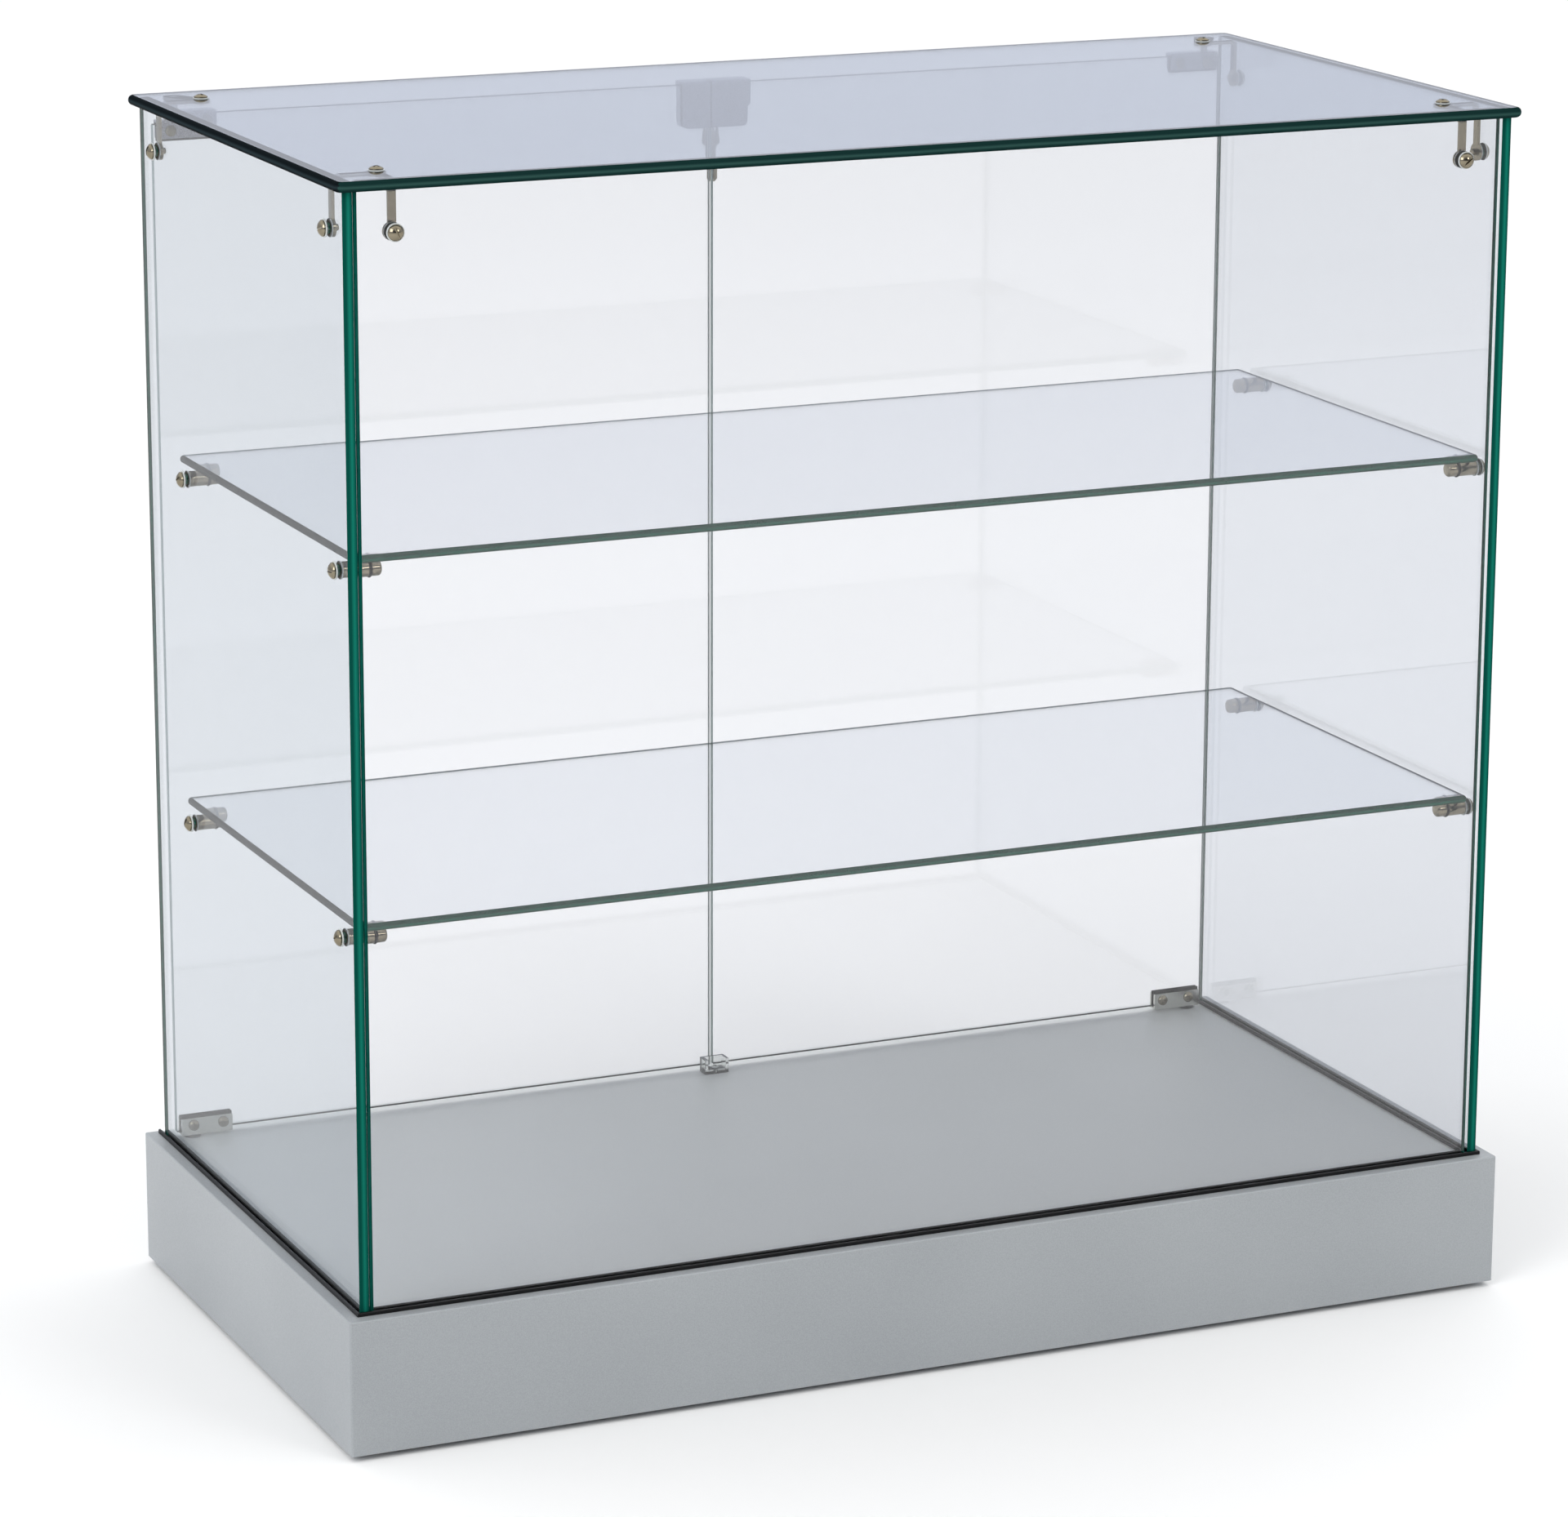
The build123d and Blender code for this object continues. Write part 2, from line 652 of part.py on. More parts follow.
for shelf_name, level in shelf_levels.items():
    save(pencil_panel((shelf_front_y + shelf_rear_y) / 2, level, shelf_width,
                      shelf_rear_y - shelf_front_y, shelf_thickness, shelf_corner_radius, []),
         f"{shelf_name}_shelf")

# Door glass
door_width = door_outer_x - door_gap / 2
door_height = door_top_z - door_bottom_z
for side_name, side in sides.items():
    door_plane = Plane((side * (door_gap / 2 + door_width / 2), door_inner_y, door_bottom_z),
                       x_dir=(-1, 0, 0), z_dir=(0, 1, 0))
    save(bored_panel(door_plane, door_width, door_height, door_thickness, [], door_arris),
         f"{side_name}_door_glass")

# Pivot clamps: a U of sheet metal over the door's edge, closed on a gasket by two screws
clamp_ends = {"bottom": (1, clamp_bottom_z), "top": (-1, clamp_top_z)}


def clamp_section(side, up, web_z):
    """A plane across a clamp, its Y running from the web over the door's edge."""
    return Plane((side * clamp_mid_x, door_mid_y, web_z), x_dir=(0, 1, 0), z_dir=(up, 0, 0))


def clamp_screw_planes(side, up, web_z):
    face_y = door_inner_y - gasket_thickness - clamp_wall
    outer = pivot_x
    return [Plane((side * x, face_y, web_z + up * clamp_screw_height), z_dir=(0, -1, 0))
            for x in (outer, outer - clamp_screw_spacing)]


def pivot_clamp(side, up, web_z):
    with BuildPart() as clamp:
        with BuildSketch(clamp_section(side, up, web_z)):
            Rectangle(clamp_depth, clamp_height, align=(Align.CENTER, Align.MIN))
        extrude(amount=clamp_width / 2, both=True)
        fillet(clamp.edges().filter_by(Axis.Y), radius=clamp_corner_radius)
        with BuildSketch(clamp_section(side, up, web_z + up * clamp_web)):
            Rectangle(slot_thickness, clamp_height, align=(Align.CENTER, Align.MIN))
        extrude(amount=clamp_width, both=True, mode=Mode.SUBTRACT)
        with BuildSketch(Plane((side * pivot_x, door_mid_y, web_z), z_dir=(0, 0, up))):
            Circle(pivot_diameter / 2 + thread_play)
        extrude(amount=clamp_web, mode=Mode.SUBTRACT)
        for plane in clamp_screw_planes(side, up, web_z):
            with BuildSketch(plane):
                Circle(clamp_screw_shank / 2 + thread_play)
            extrude(amount=-clamp_wall, mode=Mode.SUBTRACT)
    return clamp.part


def u_gasket(plane, height, thickness, length):
    """A strip folded over a door's edge, on a plane across it."""
    with BuildPart() as gasket:
        with BuildSketch(plane):
            Rectangle(slot_thickness, height, align=(Align.CENTER, Align.MIN))
            with Locations((0, thickness)):
                Rectangle(door_thickness, height, align=(Align.CENTER, Align.MIN),
                          mode=Mode.SUBTRACT)
        extrude(amount=length / 2, both=True)
    return gasket.part


clamp_screw = screw(clamp_screw_head, clamp_screw_dome, clamp_screw_dome / 4,
                    clamp_screw_shank, clamp_wall, False)
gasket_height = clamp_height - clamp_web + gasket_proud
plate_bush_z = plate_z - top_bush_flange
bottom_pin_length = clamp_web + clamp_floor_gap + pivot_depth
top_pin_length = top_z - bush_play - (clamp_top_z - clamp_web)
for side_name, side in sides.items():
    screw_planes = []
    with BuildPart() as gaskets:
        for end_name, (up, web_z) in clamp_ends.items():
            save(pivot_clamp(side, up, web_z), f"{side_name}_{end_name}_clamp")
            screw_planes += clamp_screw_planes(side, up, web_z)
            add(u_gasket(clamp_section(side, up, web_z + up * clamp_web), gasket_height,
                         gasket_thickness, clamp_width))
    save(gaskets.part, f"{side_name}_clamp_gaskets")
    save(copies(clamp_screw, screw_planes), f"{side_name}_clamp_screws")
    with BuildPart() as pivot_pins:
        for base_z, length in ((clamp_bottom_z + clamp_web, -bottom_pin_length),
                               (clamp_top_z - clamp_web, top_pin_length)):
            with BuildSketch(Plane((side * pivot_x, door_mid_y, base_z))):
                Circle(pivot_diameter / 2)
            extrude(amount=length)
    save(pivot_pins.part, f"{side_name}_pivot_pins")


def pivot_bush(flange, barrel):
    """A flanged bush, its flange standing up from Z = 0 and its barrel below."""
    with BuildPart() as bush:
        with BuildSketch():
            Circle(bush_flange_diameter / 2)
        extrude(amount=flange)
        with BuildSketch():
            Circle(bush_diameter / 2 - thread_play)
        extrude(amount=-barrel)
        with Locations((0, 0, flange)):
            Hole(pivot_diameter / 2 + pivot_play)
    return bush.part


with BuildPart() as pivot_bushes:
    with Locations(*[Plane((side * pivot_x, door_mid_y, deck_z)) for side in sides.values()]):
        add(pivot_bush(clamp_floor_gap - bush_play, pivot_depth + bush_wall))
    with Locations(*[Plane((side * pivot_x, door_mid_y, plate_z), z_dir=(0, 0, -1))
                     for side in sides.values()]):
        add(pivot_bush(top_bush_flange, bracket_thickness))
save(pivot_bushes.part, "pivot_bushes")

# Clear stop: a foot screwed to the deck, an upright that the doors close against, two webs
with BuildPart() as door_stop:
    with BuildSketch(Plane((0, stop_rear_y, deck_z), x_dir=(0, -1, 0), z_dir=(-1, 0, 0))):
        Rectangle(stop_depth, stop_height, align=(Align.MIN, Align.MIN))
    extrude(amount=stop_width / 2, both=True)
    fillet(door_stop.edges().filter_by(Axis.Z), radius=1.0)
    fillet(door_stop.faces().sort_by(Axis.Z)[-1].edges(), radius=0.8)
    with BuildSketch(Plane((0, stop_rear_y - stop_wall, deck_z + stop_foot),
                           x_dir=(0, -1, 0), z_dir=(-1, 0, 0))):
        Rectangle(stop_depth, stop_height, align=(Align.MIN, Align.MIN))
    extrude(amount=stop_width / 2 - stop_wall, both=True, mode=Mode.SUBTRACT)
    with Locations((0, stop_screw_y, deck_z + stop_foot)):
        Hole(stop_screw_shank / 2 + sleeve_play, depth=stop_foot)
save(door_stop.part, "door_stop")
stop_screw = screw(stop_screw_head, 2.4, 0.8, stop_screw_shank, stop_screw_length, False)
save(copies(stop_screw, [Plane((0, stop_screw_y, deck_z + stop_foot))]), "door_stop_screw")


def lock_section(x):
    """A plane across a lock block, its Y running down from the block's web."""
    return Plane((x, door_mid_y, lock_top_z), x_dir=(0, 1, 0), z_dir=(-1, 0, 0))


def lock_block(outline, rounded, cavity):
    """A cast block hung over the door's upper edge, with a housing behind the glass.

    The cavity is given by its X span and its Z span.
    """
    with BuildPart() as block:
        with BuildSketch(Plane.XZ.offset(-lock_front_y)):
            with BuildLine():
                Polyline(*outline, close=True)
            make_face()
        extrude(amount=-(lock_rear_y - lock_front_y))
        for x, radius in rounded:
            corner = block.edges().filter_by(Axis.Y).sort_by_distance(
                (x, door_mid_y, lock_bottom_z))[0]
            fillet(corner, radius=radius)
        front_and_rear = block.faces().filter_by(Axis.Y).edges()
        fillet(front_and_rear, radius=0.6)
        mid_x = (outline[0][0] + outline[1][0]) / 2
        with BuildSketch(lock_section(mid_x)):
            with Locations((0, lock_web)):
                Rectangle(slot_thickness, lock_height, align=(Align.CENTER, Align.MIN))
        extrude(amount=base_width / 10, both=True, mode=Mode.SUBTRACT)
        (low_x, high_x), (low_z, high_z) = cavity
        with BuildSketch(Plane.XZ.offset(-(lock_back_y + lock_wall / 2))):
            with Locations(((low_x + high_x) / 2, (low_z + high_z) / 2)):
                Rectangle(high_x - low_x, high_z - low_z)
        extrude(amount=-cavity_depth, mode=Mode.SUBTRACT)
    return block.part


def set_screw_points(mid_x):
    mid_z = (lock_bottom_z + door_top_z) / 2
    return [(mid_x, mid_z + offset * set_screw_spacing / 2) for offset in (-1, 1)]


def with_set_screw_holes(block, mid_x):
    with BuildPart() as bored:
        add(block)
        with BuildSketch(Plane.XZ.offset(-lock_front_y)):
            with Locations(*set_screw_points(mid_x)):
                Circle(set_screw_diameter / 2 + thread_play)
        extrude(amount=-lock_plate, mode=Mode.SUBTRACT)
    return bored.part


# Lock case on the left door: the cavity opens towards the strike
case_right_x = lock_face_gap + lock_case_width
case_mid_x = lock_face_gap + lock_case_width / 2
step_z = lock_top_z - lock_step_height
case_outline = [(lock_face_gap, lock_bottom_z), (case_right_x, lock_bottom_z),
                (case_right_x, step_z - lock_step), (case_right_x + lock_step, step_z),
                (case_right_x + lock_step, lock_top_z), (lock_face_gap, lock_top_z)]
case_top_z = door_top_z - lock_wall / 2
case_cavity = ((0, case_right_x - lock_wall), (lock_bottom_z + lock_wall, case_top_z))
case_block = lock_block(case_outline, [(case_right_x, lock_corner_radius)], case_cavity)
with BuildPart() as lock_case:
    add(with_set_screw_holes(case_block, case_mid_x))
    with BuildSketch(Plane.XZ.offset(-lock_rear_y)):
        with Locations((plug_x, plug_z)):
            Circle(boss_diameter / 2)
    extrude(amount=-boss_length)
    fillet(lock_case.faces().sort_by(Axis.Y)[-1].edges(), radius=1.0)
    with BuildSketch(Plane.XZ.offset(-plug_end_y)):
        with Locations((plug_x, plug_z)):
            Circle(plug_diameter / 2 + plug_play)
    extrude(amount=boss_length + lock_wall, mode=Mode.SUBTRACT)
save(lock_case.part, "lock_case")

# Strike on the right door: a pocket that the cam turns into
strike_left_x = -lock_face_gap - strike_width
strike_mid_x = -lock_face_gap - strike_width / 2
strike_outline = [(strike_left_x, lock_bottom_z), (-lock_face_gap, lock_bottom_z),
                  (-lock_face_gap, lock_top_z), (strike_left_x, lock_top_z)]
strike_cavity = ((plug_x - cam_reach - cam_width / 2, 0),
                 (plug_z - cam_width / 2 - 2 * cam_play, case_top_z))
strike_block = lock_block(strike_outline, [(strike_left_x, lock_corner_radius)], strike_cavity)
save(with_set_screw_holes(strike_block, strike_mid_x), "lock_strike")

with BuildPart() as set_screw:
    with BuildSketch():
        Circle(set_screw_diameter / 2)
        RegularPolygon(set_screw_socket / sqrt(3), 6, mode=Mode.SUBTRACT)
    extrude(amount=-lock_plate)
    with BuildSketch(Plane.XY.offset(-lock_plate)):
        Circle(set_screw_diameter / 2)
    extrude(amount=lock_plate / 2)
for block_name, block_mid_x, width in (("lock", case_mid_x, lock_case_width),
                                       ("strike", strike_mid_x, strike_width)):
    set_planes = [Plane((x, lock_front_y, z), z_dir=(0, -1, 0))
                  for x, z in set_screw_points(block_mid_x)]
    save(copies(set_screw.part, set_planes), f"{block_name}_set_screws")
    gasket_plane = lock_section(block_mid_x)
    gasket_plane.origin += Vector(0, 0, -lock_web)
    save(u_gasket(gasket_plane, lock_height - lock_web - lock_plate, gasket_thickness,
                  width - 2 * door_gap), f"{block_name}_gasket")

# Plug, turned by the key, and the cam on its inner end, upright while unlocked
plug_plane = Plane((plug_x, plug_end_y, plug_z), x_dir=(1, 0, 0), z_dir=(0, 1, 0))
with BuildPart() as lock_plug:
    with BuildSketch(plug_plane):
        Circle(plug_diameter / 2)
    extrude(amount=-(plug_end_y - plug_front_y))
    with BuildSketch(plug_plane.offset(plug_front_y - plug_end_y)):
        Circle(plug_flange_diameter / 2)
    extrude(amount=plug_flange)
    with BuildSketch(plug_plane):
        Rectangle(keyway_width, keyway_height)
    extrude(amount=-boss_length, mode=Mode.SUBTRACT)
    with BuildSketch(plug_plane.offset(plug_front_y - plug_end_y)):
        Circle(cam_screw_shank / 2 + thread_play)
    extrude(amount=lock_wall, mode=Mode.SUBTRACT)
save(lock_plug.part, "lock_plug")

cam_plane = Plane((plug_x, cam_front_y, plug_z), x_dir=(-1, 0, 0), z_dir=(0, 1, 0))
with BuildPart() as lock_cam:
    with BuildSketch(cam_plane):
        Circle(plug_flange_diameter / 2 - 1)
        with Locations((0, (cam_reach - cam_width / 2) / 2)):
            Rectangle(cam_width, cam_reach - cam_width / 2)
        with Locations((0, cam_reach - cam_width / 2)):
            Circle(cam_width / 2)
        Circle(cam_screw_shank / 2 + thread_play, mode=Mode.SUBTRACT)
    extrude(amount=cam_thickness)
save(lock_cam.part, "lock_cam")

cam_screw_plane = Plane((plug_x, cam_front_y, plug_z), z_dir=(0, -1, 0))
cam_screw_height = cam_front_y - lock_back_y - lock_wall / 2 - cam_play / 2
cam_screw = screw(cam_screw_head, cam_screw_height, cam_screw_height / 2, cam_screw_shank,
                  cam_thickness + lock_wall * 0.9, False)
save(copies(cam_screw, [cam_screw_plane]), "cam_screw")

# Key ring hung on the lock's round boss, with two keys on it
ring_mid_z = plug_z + boss_diameter / 2 + key_ring_play + key_ring_wire / 2 - key_ring_radius
ring_mid_y = plug_end_y - boss_length / 4
with BuildPart() as key_ring:
    with BuildSketch(Plane.XY):
        with Locations((key_ring_radius, 0)):
            Circle(key_ring_wire / 2)
    revolve(axis=Axis.Y, revolution_arc=360)
key_ring_plane = Plane((plug_x, ring_mid_y, ring_mid_z))
save(copies(key_ring.part, [key_ring_plane]), "key_ring")

# A key in its own plane: the hole at the origin, the blade down
bow_top = key_hole / 2 + 2.2
shoulder = bow_top - key_bow_height
with BuildPart() as key:
    with BuildSketch(Plane.XZ):
        with BuildLine():
            Polyline((-key_bow_top / 2, bow_top), (key_bow_top / 2, bow_top),
                     (key_bow_bottom / 2, shoulder + 3), (key_blade_width / 2, shoulder),
                     (key_blade_width / 2, shoulder - key_blade_length + 2.5),
                     (0.6, shoulder - key_blade_length), (-0.6, shoulder - key_blade_length),
                     (-key_blade_width / 2, shoulder - key_blade_length + 2.5),
                     (-key_blade_width / 2, shoulder), (-key_bow_bottom / 2, shoulder + 3),
                     close=True)
        make_face()
        Circle(key_hole / 2, mode=Mode.SUBTRACT)
    extrude(amount=key_thickness / 2, both=True)
    bow_corners = key.edges().filter_by(Axis.Y).group_by(Axis.Z)
    fillet(bow_corners[-1], radius=2.4)
key_hang_z = ring_mid_z - key_ring_radius - key_hang
key_planes = [Plane((plug_x + offset, ring_mid_y, key_hang_z)).rotated((0, 0, key_twist - 90))
              for offset in (-key_thickness, key_thickness)]
save(copies(key.part, key_planes), "door_keys")
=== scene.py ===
import math
import bmesh
import bpy
import numpy as np
from mathutils import Matrix, Vector
from mathutils.geometry import tessellate_polygon


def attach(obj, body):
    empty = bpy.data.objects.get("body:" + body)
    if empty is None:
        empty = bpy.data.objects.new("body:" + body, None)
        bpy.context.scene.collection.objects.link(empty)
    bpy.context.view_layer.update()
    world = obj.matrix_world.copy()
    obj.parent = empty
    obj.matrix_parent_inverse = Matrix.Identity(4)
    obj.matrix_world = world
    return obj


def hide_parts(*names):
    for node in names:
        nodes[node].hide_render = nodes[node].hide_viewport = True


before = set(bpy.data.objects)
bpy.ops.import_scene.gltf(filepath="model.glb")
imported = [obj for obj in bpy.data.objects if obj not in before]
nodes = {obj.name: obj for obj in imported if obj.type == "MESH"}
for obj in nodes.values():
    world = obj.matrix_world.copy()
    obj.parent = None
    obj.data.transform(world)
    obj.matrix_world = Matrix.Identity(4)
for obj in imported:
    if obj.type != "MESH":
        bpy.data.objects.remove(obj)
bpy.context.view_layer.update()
mm = 0.001
sides = {"left": -1, "right": 1}
print("frame loaded")


def linearColour(hexCode):
    # sRGB hex value to the linear values that shaders use
    values = [int(hexCode[i:i + 2], 16) / 255 for i in (1, 3, 5)]
    values = [v / 12.92 if v <= 0.04045 else ((v + 0.055) / 1.055) ** 2.4 for v in values]
    return (*values, 1.0)


def addNode(tree, kind, settings=None, links=None, onward=None):
    # one node: settings are its attributes, its inputs by name or number, or a ramp's stops;
    # links bring sockets to its inputs, and onward is where its first output goes
    node = tree.nodes.new(kind)
    for key, value in (settings or {}).items():
        if key == "stops":
            elements = node.color_ramp.elements
            while len(elements) < len(value):
                elements.new(0.5)
            for element, (place, colour) in zip(elements, value):
                element.position = place
                element.color = linearColour(colour)
        elif isinstance(key, str) and hasattr(node, key):
            setattr(node, key, value)
        else:
            node.inputs[key].default_value = value
    for key, socket in (links or {}).items():
        tree.links.new(socket, node.inputs[key])
    if onward is not None:
        tree.links.new(node.outputs[0], onward)
    return node


def newMaterial(name, colour, **sockets):
    # a material with its node tree and shader, the plain values set on the shader's own sockets
    material = bpy.data.materials.new(name)
    material.use_nodes = True
    shader = material.node_tree.nodes["Principled BSDF"]
    shader.inputs["Base Color"].default_value = linearColour(colour)
    for socket, value in sockets.items():
        shader.inputs[socket.replace("_", " ")].default_value = value
    return material, material.node_tree, shader


def grainPattern(tree, sizeMm, stretch=(1, 1, 1), detail=3.0):
    # noise whose grains are about sizeMm across, drawn out along an axis by a stretch under 1
    place = addNode(tree, "ShaderNodeTexCoord").outputs["Object"]
    mapped = addNode(tree, "ShaderNodeMapping", {"Scale": stretch}, {"Vector": place})
    noise = addNode(tree, "ShaderNodeTexNoise", {"Scale": 1 / (sizeMm * mm), "Detail": detail},
                    {"Vector": mapped.outputs["Vector"]})
    return noise.outputs["Fac"]


# Float glass: clear and smooth, with the faint cool cast that a white room gives it painted into
# its tint, and the sheets' tints set apart as painted light and shade
def floatGlass(name, tint, ior=1.5):
    return newMaterial(name, tint, Roughness=0.0, IOR=ior, Transmission_Weight=1.0)[0]


# Ground glass edge, polished: light runs along inside the sheet and comes out deep green, in a
# lighter band between low and high across the thickness, that drifts a little along the edge
def glassEdge(name, dark, light, low, high):
    material, tree, shader = newMaterial(name, dark, Roughness=0.3, IOR=1.05,
                                         Specular_IOR_Level=0.05)
    sheet = addNode(tree, "ShaderNodeUVMap", {"uv_map": "across"}).outputs["UV"]
    across = addNode(tree, "ShaderNodeSeparateXYZ", links={"Vector": sheet}).outputs["X"]
    drift = grainPattern(tree, 90, detail=1.0)
    band = addNode(tree, "ShaderNodeMath", {"operation": "MULTIPLY_ADD", 1: 0.12},
                   {0: drift, 2: across})
    addNode(tree, "ShaderNodeValToRGB",
            {"stops": [(0.0, dark), (low, dark), ((low + high) / 2, light), (high, dark),
                       (1.0, dark)]},
            {"Fac": band.outputs["Value"]}, shader.inputs["Base Color"])
    return material


# Silver laminate on particle board: satin, with a fine metallic speckle under the film
def silverLaminate(name, dark, light):
    material, tree, shader = newMaterial(name, dark, Roughness=0.42, Metallic=0.1,
                                         Coat_Weight=0.1, Coat_Roughness=0.3)
    speckle = grainPattern(tree, 0.9, detail=2.0)  # really 0.1 mm, drawn as coarse as shows
    cloud = grainPattern(tree, 180, detail=1.0)
    mix = addNode(tree, "ShaderNodeMix", {"data_type": "FLOAT", 0: 0.35}, {2: speckle, 3: cloud})
    addNode(tree, "ShaderNodeValToRGB", {"stops": [(0.3, dark), (0.7, light)]},
            {"Fac": mix.outputs[0]}, shader.inputs["Base Color"])
    addNode(tree, "ShaderNodeBump", {"Distance": 0.02 * mm, "Strength": 0.3},
            {"Height": speckle}, shader.inputs["Normal"])
    return material


# Softwood, planed and unfinished: pale and dull, with grain along X
def planedWood():
    material, tree, shader = newMaterial("planedWood", "#c9a878", Roughness=0.7)
    grain = grainPattern(tree, 6, (0.05, 1, 1))
    addNode(tree, "ShaderNodeValToRGB", {"stops": [(0.35, "#b8935f"), (0.65, "#d6b98c")]},
            {"Fac": grain}, shader.inputs["Base Color"])
    addNode(tree, "ShaderNodeBump", {"Distance": 0.1 * mm, "Strength": 0.4},
            {"Height": grain}, shader.inputs["Normal"])
    return material


# Black anodised aluminium, extruded: dark satin whose sheen varies a little
def blackAnodised():
    material, tree, shader = newMaterial("blackAnodised", "#070708", Roughness=0.38,
                                         Specular_IOR_Level=0.25)
    sheen = grainPattern(tree, 1.2, detail=2.0)
    addNode(tree, "ShaderNodeMapRange", {"To Min": 0.32, "To Max": 0.46}, {"Value": sheen},
            shader.inputs["Roughness"])
    return material


# Nickel plate, polished or cast: a mirror with a faint polishing haze, softer on castings
def nickelPlate(name, colour, rough):
    material, tree, shader = newMaterial(name, colour, Roughness=rough, Metallic=1.0)
    haze = grainPattern(tree, 1.4, detail=4.0)
    addNode(tree, "ShaderNodeMapRange", {"To Min": rough * 0.7, "To Max": rough * 1.5},
            {"Value": haze}, shader.inputs["Roughness"])
    addNode(tree, "ShaderNodeBump", {"Distance": 0.01 * mm, "Strength": 0.2},
            {"Height": haze}, shader.inputs["Normal"])
    return material


# Zinc-plated steel, pressed or turned: duller and greyer than nickel, lightly clouded
def zincSteel():
    material, tree, shader = newMaterial("zincSteel", "#aeb0ae", Roughness=0.3, Metallic=1.0)
    cloud = grainPattern(tree, 2.5)
    addNode(tree, "ShaderNodeValToRGB", {"stops": [(0.3, "#9c9e9b"), (0.7, "#bdbfbd")]},
            {"Fac": cloud}, shader.inputs["Base Color"])
    return material


# Nitrile rubber, moulded: near black and dull
def blackRubber():
    material, tree, shader = newMaterial("blackRubber", "#101011", Roughness=0.62)
    skin = grainPattern(tree, 0.8)
    addNode(tree, "ShaderNodeMapRange", {"To Min": 0.55, "To Max": 0.72}, {"Value": skin},
            shader.inputs["Roughness"])
    addNode(tree, "ShaderNodeBump", {"Distance": 0.02 * mm, "Strength": 0.5},
            {"Height": skin}, shader.inputs["Normal"])
    return material


# Nylon, moulded: black with a soft sheen, or natural and milky where it is thin
def mouldedNylon(name, colour, bumpStrength, **sockets):
    material, tree, shader = newMaterial(name, colour, **sockets)
    addNode(tree, "ShaderNodeBump", {"Distance": 0.02 * mm, "Strength": bumpStrength},
            {"Height": grainPattern(tree, 1.0)}, shader.inputs["Normal"])
    return material


# PVC, clear moulded: glassy, with a trace of white
def clearPlastic():
    return newMaterial("clearPlastic", "#f2f4f2", Roughness=0.06, IOR=1.46,
                       Transmission_Weight=0.92)[0]


frontFloatGlass = floatGlass("frontFloatGlass", "#f2f2f4")
# the left panel mirrors less than glass does, because the photograph's room is dark on that side,
# and its tint is painted shade, darker than the right panel's
sideFloatGlass = {"left": floatGlass("leftFloatGlass", "#dbdfe4", 1.22),
                  "right": floatGlass("rightFloatGlass", "#e4e7eb")}
# the top sheet's blue-grey tint is painted reflection and shade: it darkens what is seen through
# it to the lavender grey that the sheet mirrors
topFloatGlass = floatGlass("topFloatGlass", "#b9c0cc")
shelfFloatGlass = floatGlass("shelfFloatGlass", "#feffff")
doorFloatGlass = floatGlass("doorFloatGlass", "#f4f5f6")
# The edges' colours are painted light and shade: the green glow with its lighter band on most
# edges, darker teal on the top sheet's front and rear, near black on the level sheets' side edges
# and the doors' top and bottom edges where they look shaded, and pale on the doors' upright edges
# where they look lit
greenEdge = glassEdge("groundGreenEdge", "#07463c", "#13705f", 0.35, 0.95)
shelfEdge = glassEdge("polishedShelfEdge", "#0c4a3c", "#1d6f58", 0.2, 0.75)
topEdge = glassEdge("polishedTopEdge", "#122b29", "#2c4a45", 0.3, 0.75)
shadedEdge = glassEdge("groundShadedEdge", "#0e1417", "#242f33", 0.3, 0.8)
litDoorEdge = glassEdge("groundLitDoorEdge", "#b9c4c1", "#e2e8e6", 0.2, 0.8)
# One silver laminate in two copies: the deck's is painted far lighter than the boards', painted
# light for what the glass over it holds back
boardLaminate = silverLaminate("boardLaminate", "#93979a", "#a6aaac")
litDeckLaminate = silverLaminate("litDeckLaminate", "#e8ece9", "#f2f5f2")
wood = planedWood()
anodised = blackAnodised()
# Nickel in three copies whose brightness is partly painted light: the polished nickel is darkened
# as painted shade for the dark room that it mirrors, the bottom clamps' casting is painted pale,
# and the top clamps' and lock's casting darker, painted shade
nickel = nickelPlate("polishedNickel", "#857d6b", 0.06)
litCastNickel = nickelPlate("nickelPlatedCasting", "#d3d3cc", 0.2)
shadedNickel = nickelPlate("shadedNickelCasting", "#8c8d94", 0.26)
steel = zincSteel()
rubber = blackRubber()
nylon = mouldedNylon("blackNylon", "#141416", 0.4, Roughness=0.4)
plastic = clearPlastic()
milky = mouldedNylon("milkyNylon", "#d3d7d5", 0.3, Roughness=0.32, IOR=1.45,
                     Specular_IOR_Level=0.3)
print("materials made")


def newObject(name, data):
    made = bpy.data.objects.new(name, data)
    bpy.context.scene.collection.objects.link(made)
    return made


def finishMesh(name, points, faces, materials, body, replaced, kinds=None, across=None):
    # one object at the origin, riding on a body and standing for its CAD nodes; kinds are the
    # faces' material numbers, of which 0 is a sheet's flat face, and across is its UV map
    mesh = bpy.data.meshes.new(name)
    mesh.from_pydata(points.tolist(), [], faces)
    for material in materials:
        mesh.materials.append(material)
    if across is not None:
        layer = mesh.uv_layers.new(name="across")
        corners = np.empty(len(mesh.loops), dtype=np.int32)
        mesh.loops.foreach_get("vertex_index", corners)
        layer.data.foreach_set("uv", across[corners].ravel())
    mesh.update()
    mesh.set_sharp_from_angle(angle=math.radians(30))
    smooth = np.ones(len(mesh.polygons), dtype=bool)
    if kinds is not None:
        mesh.polygons.foreach_set("material_index", kinds.astype(np.int32))
        smooth = kinds > 0
    mesh.polygons.foreach_set("use_smooth", smooth)
    piece = newObject(name, mesh)
    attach(piece, body)
    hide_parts(*replaced)


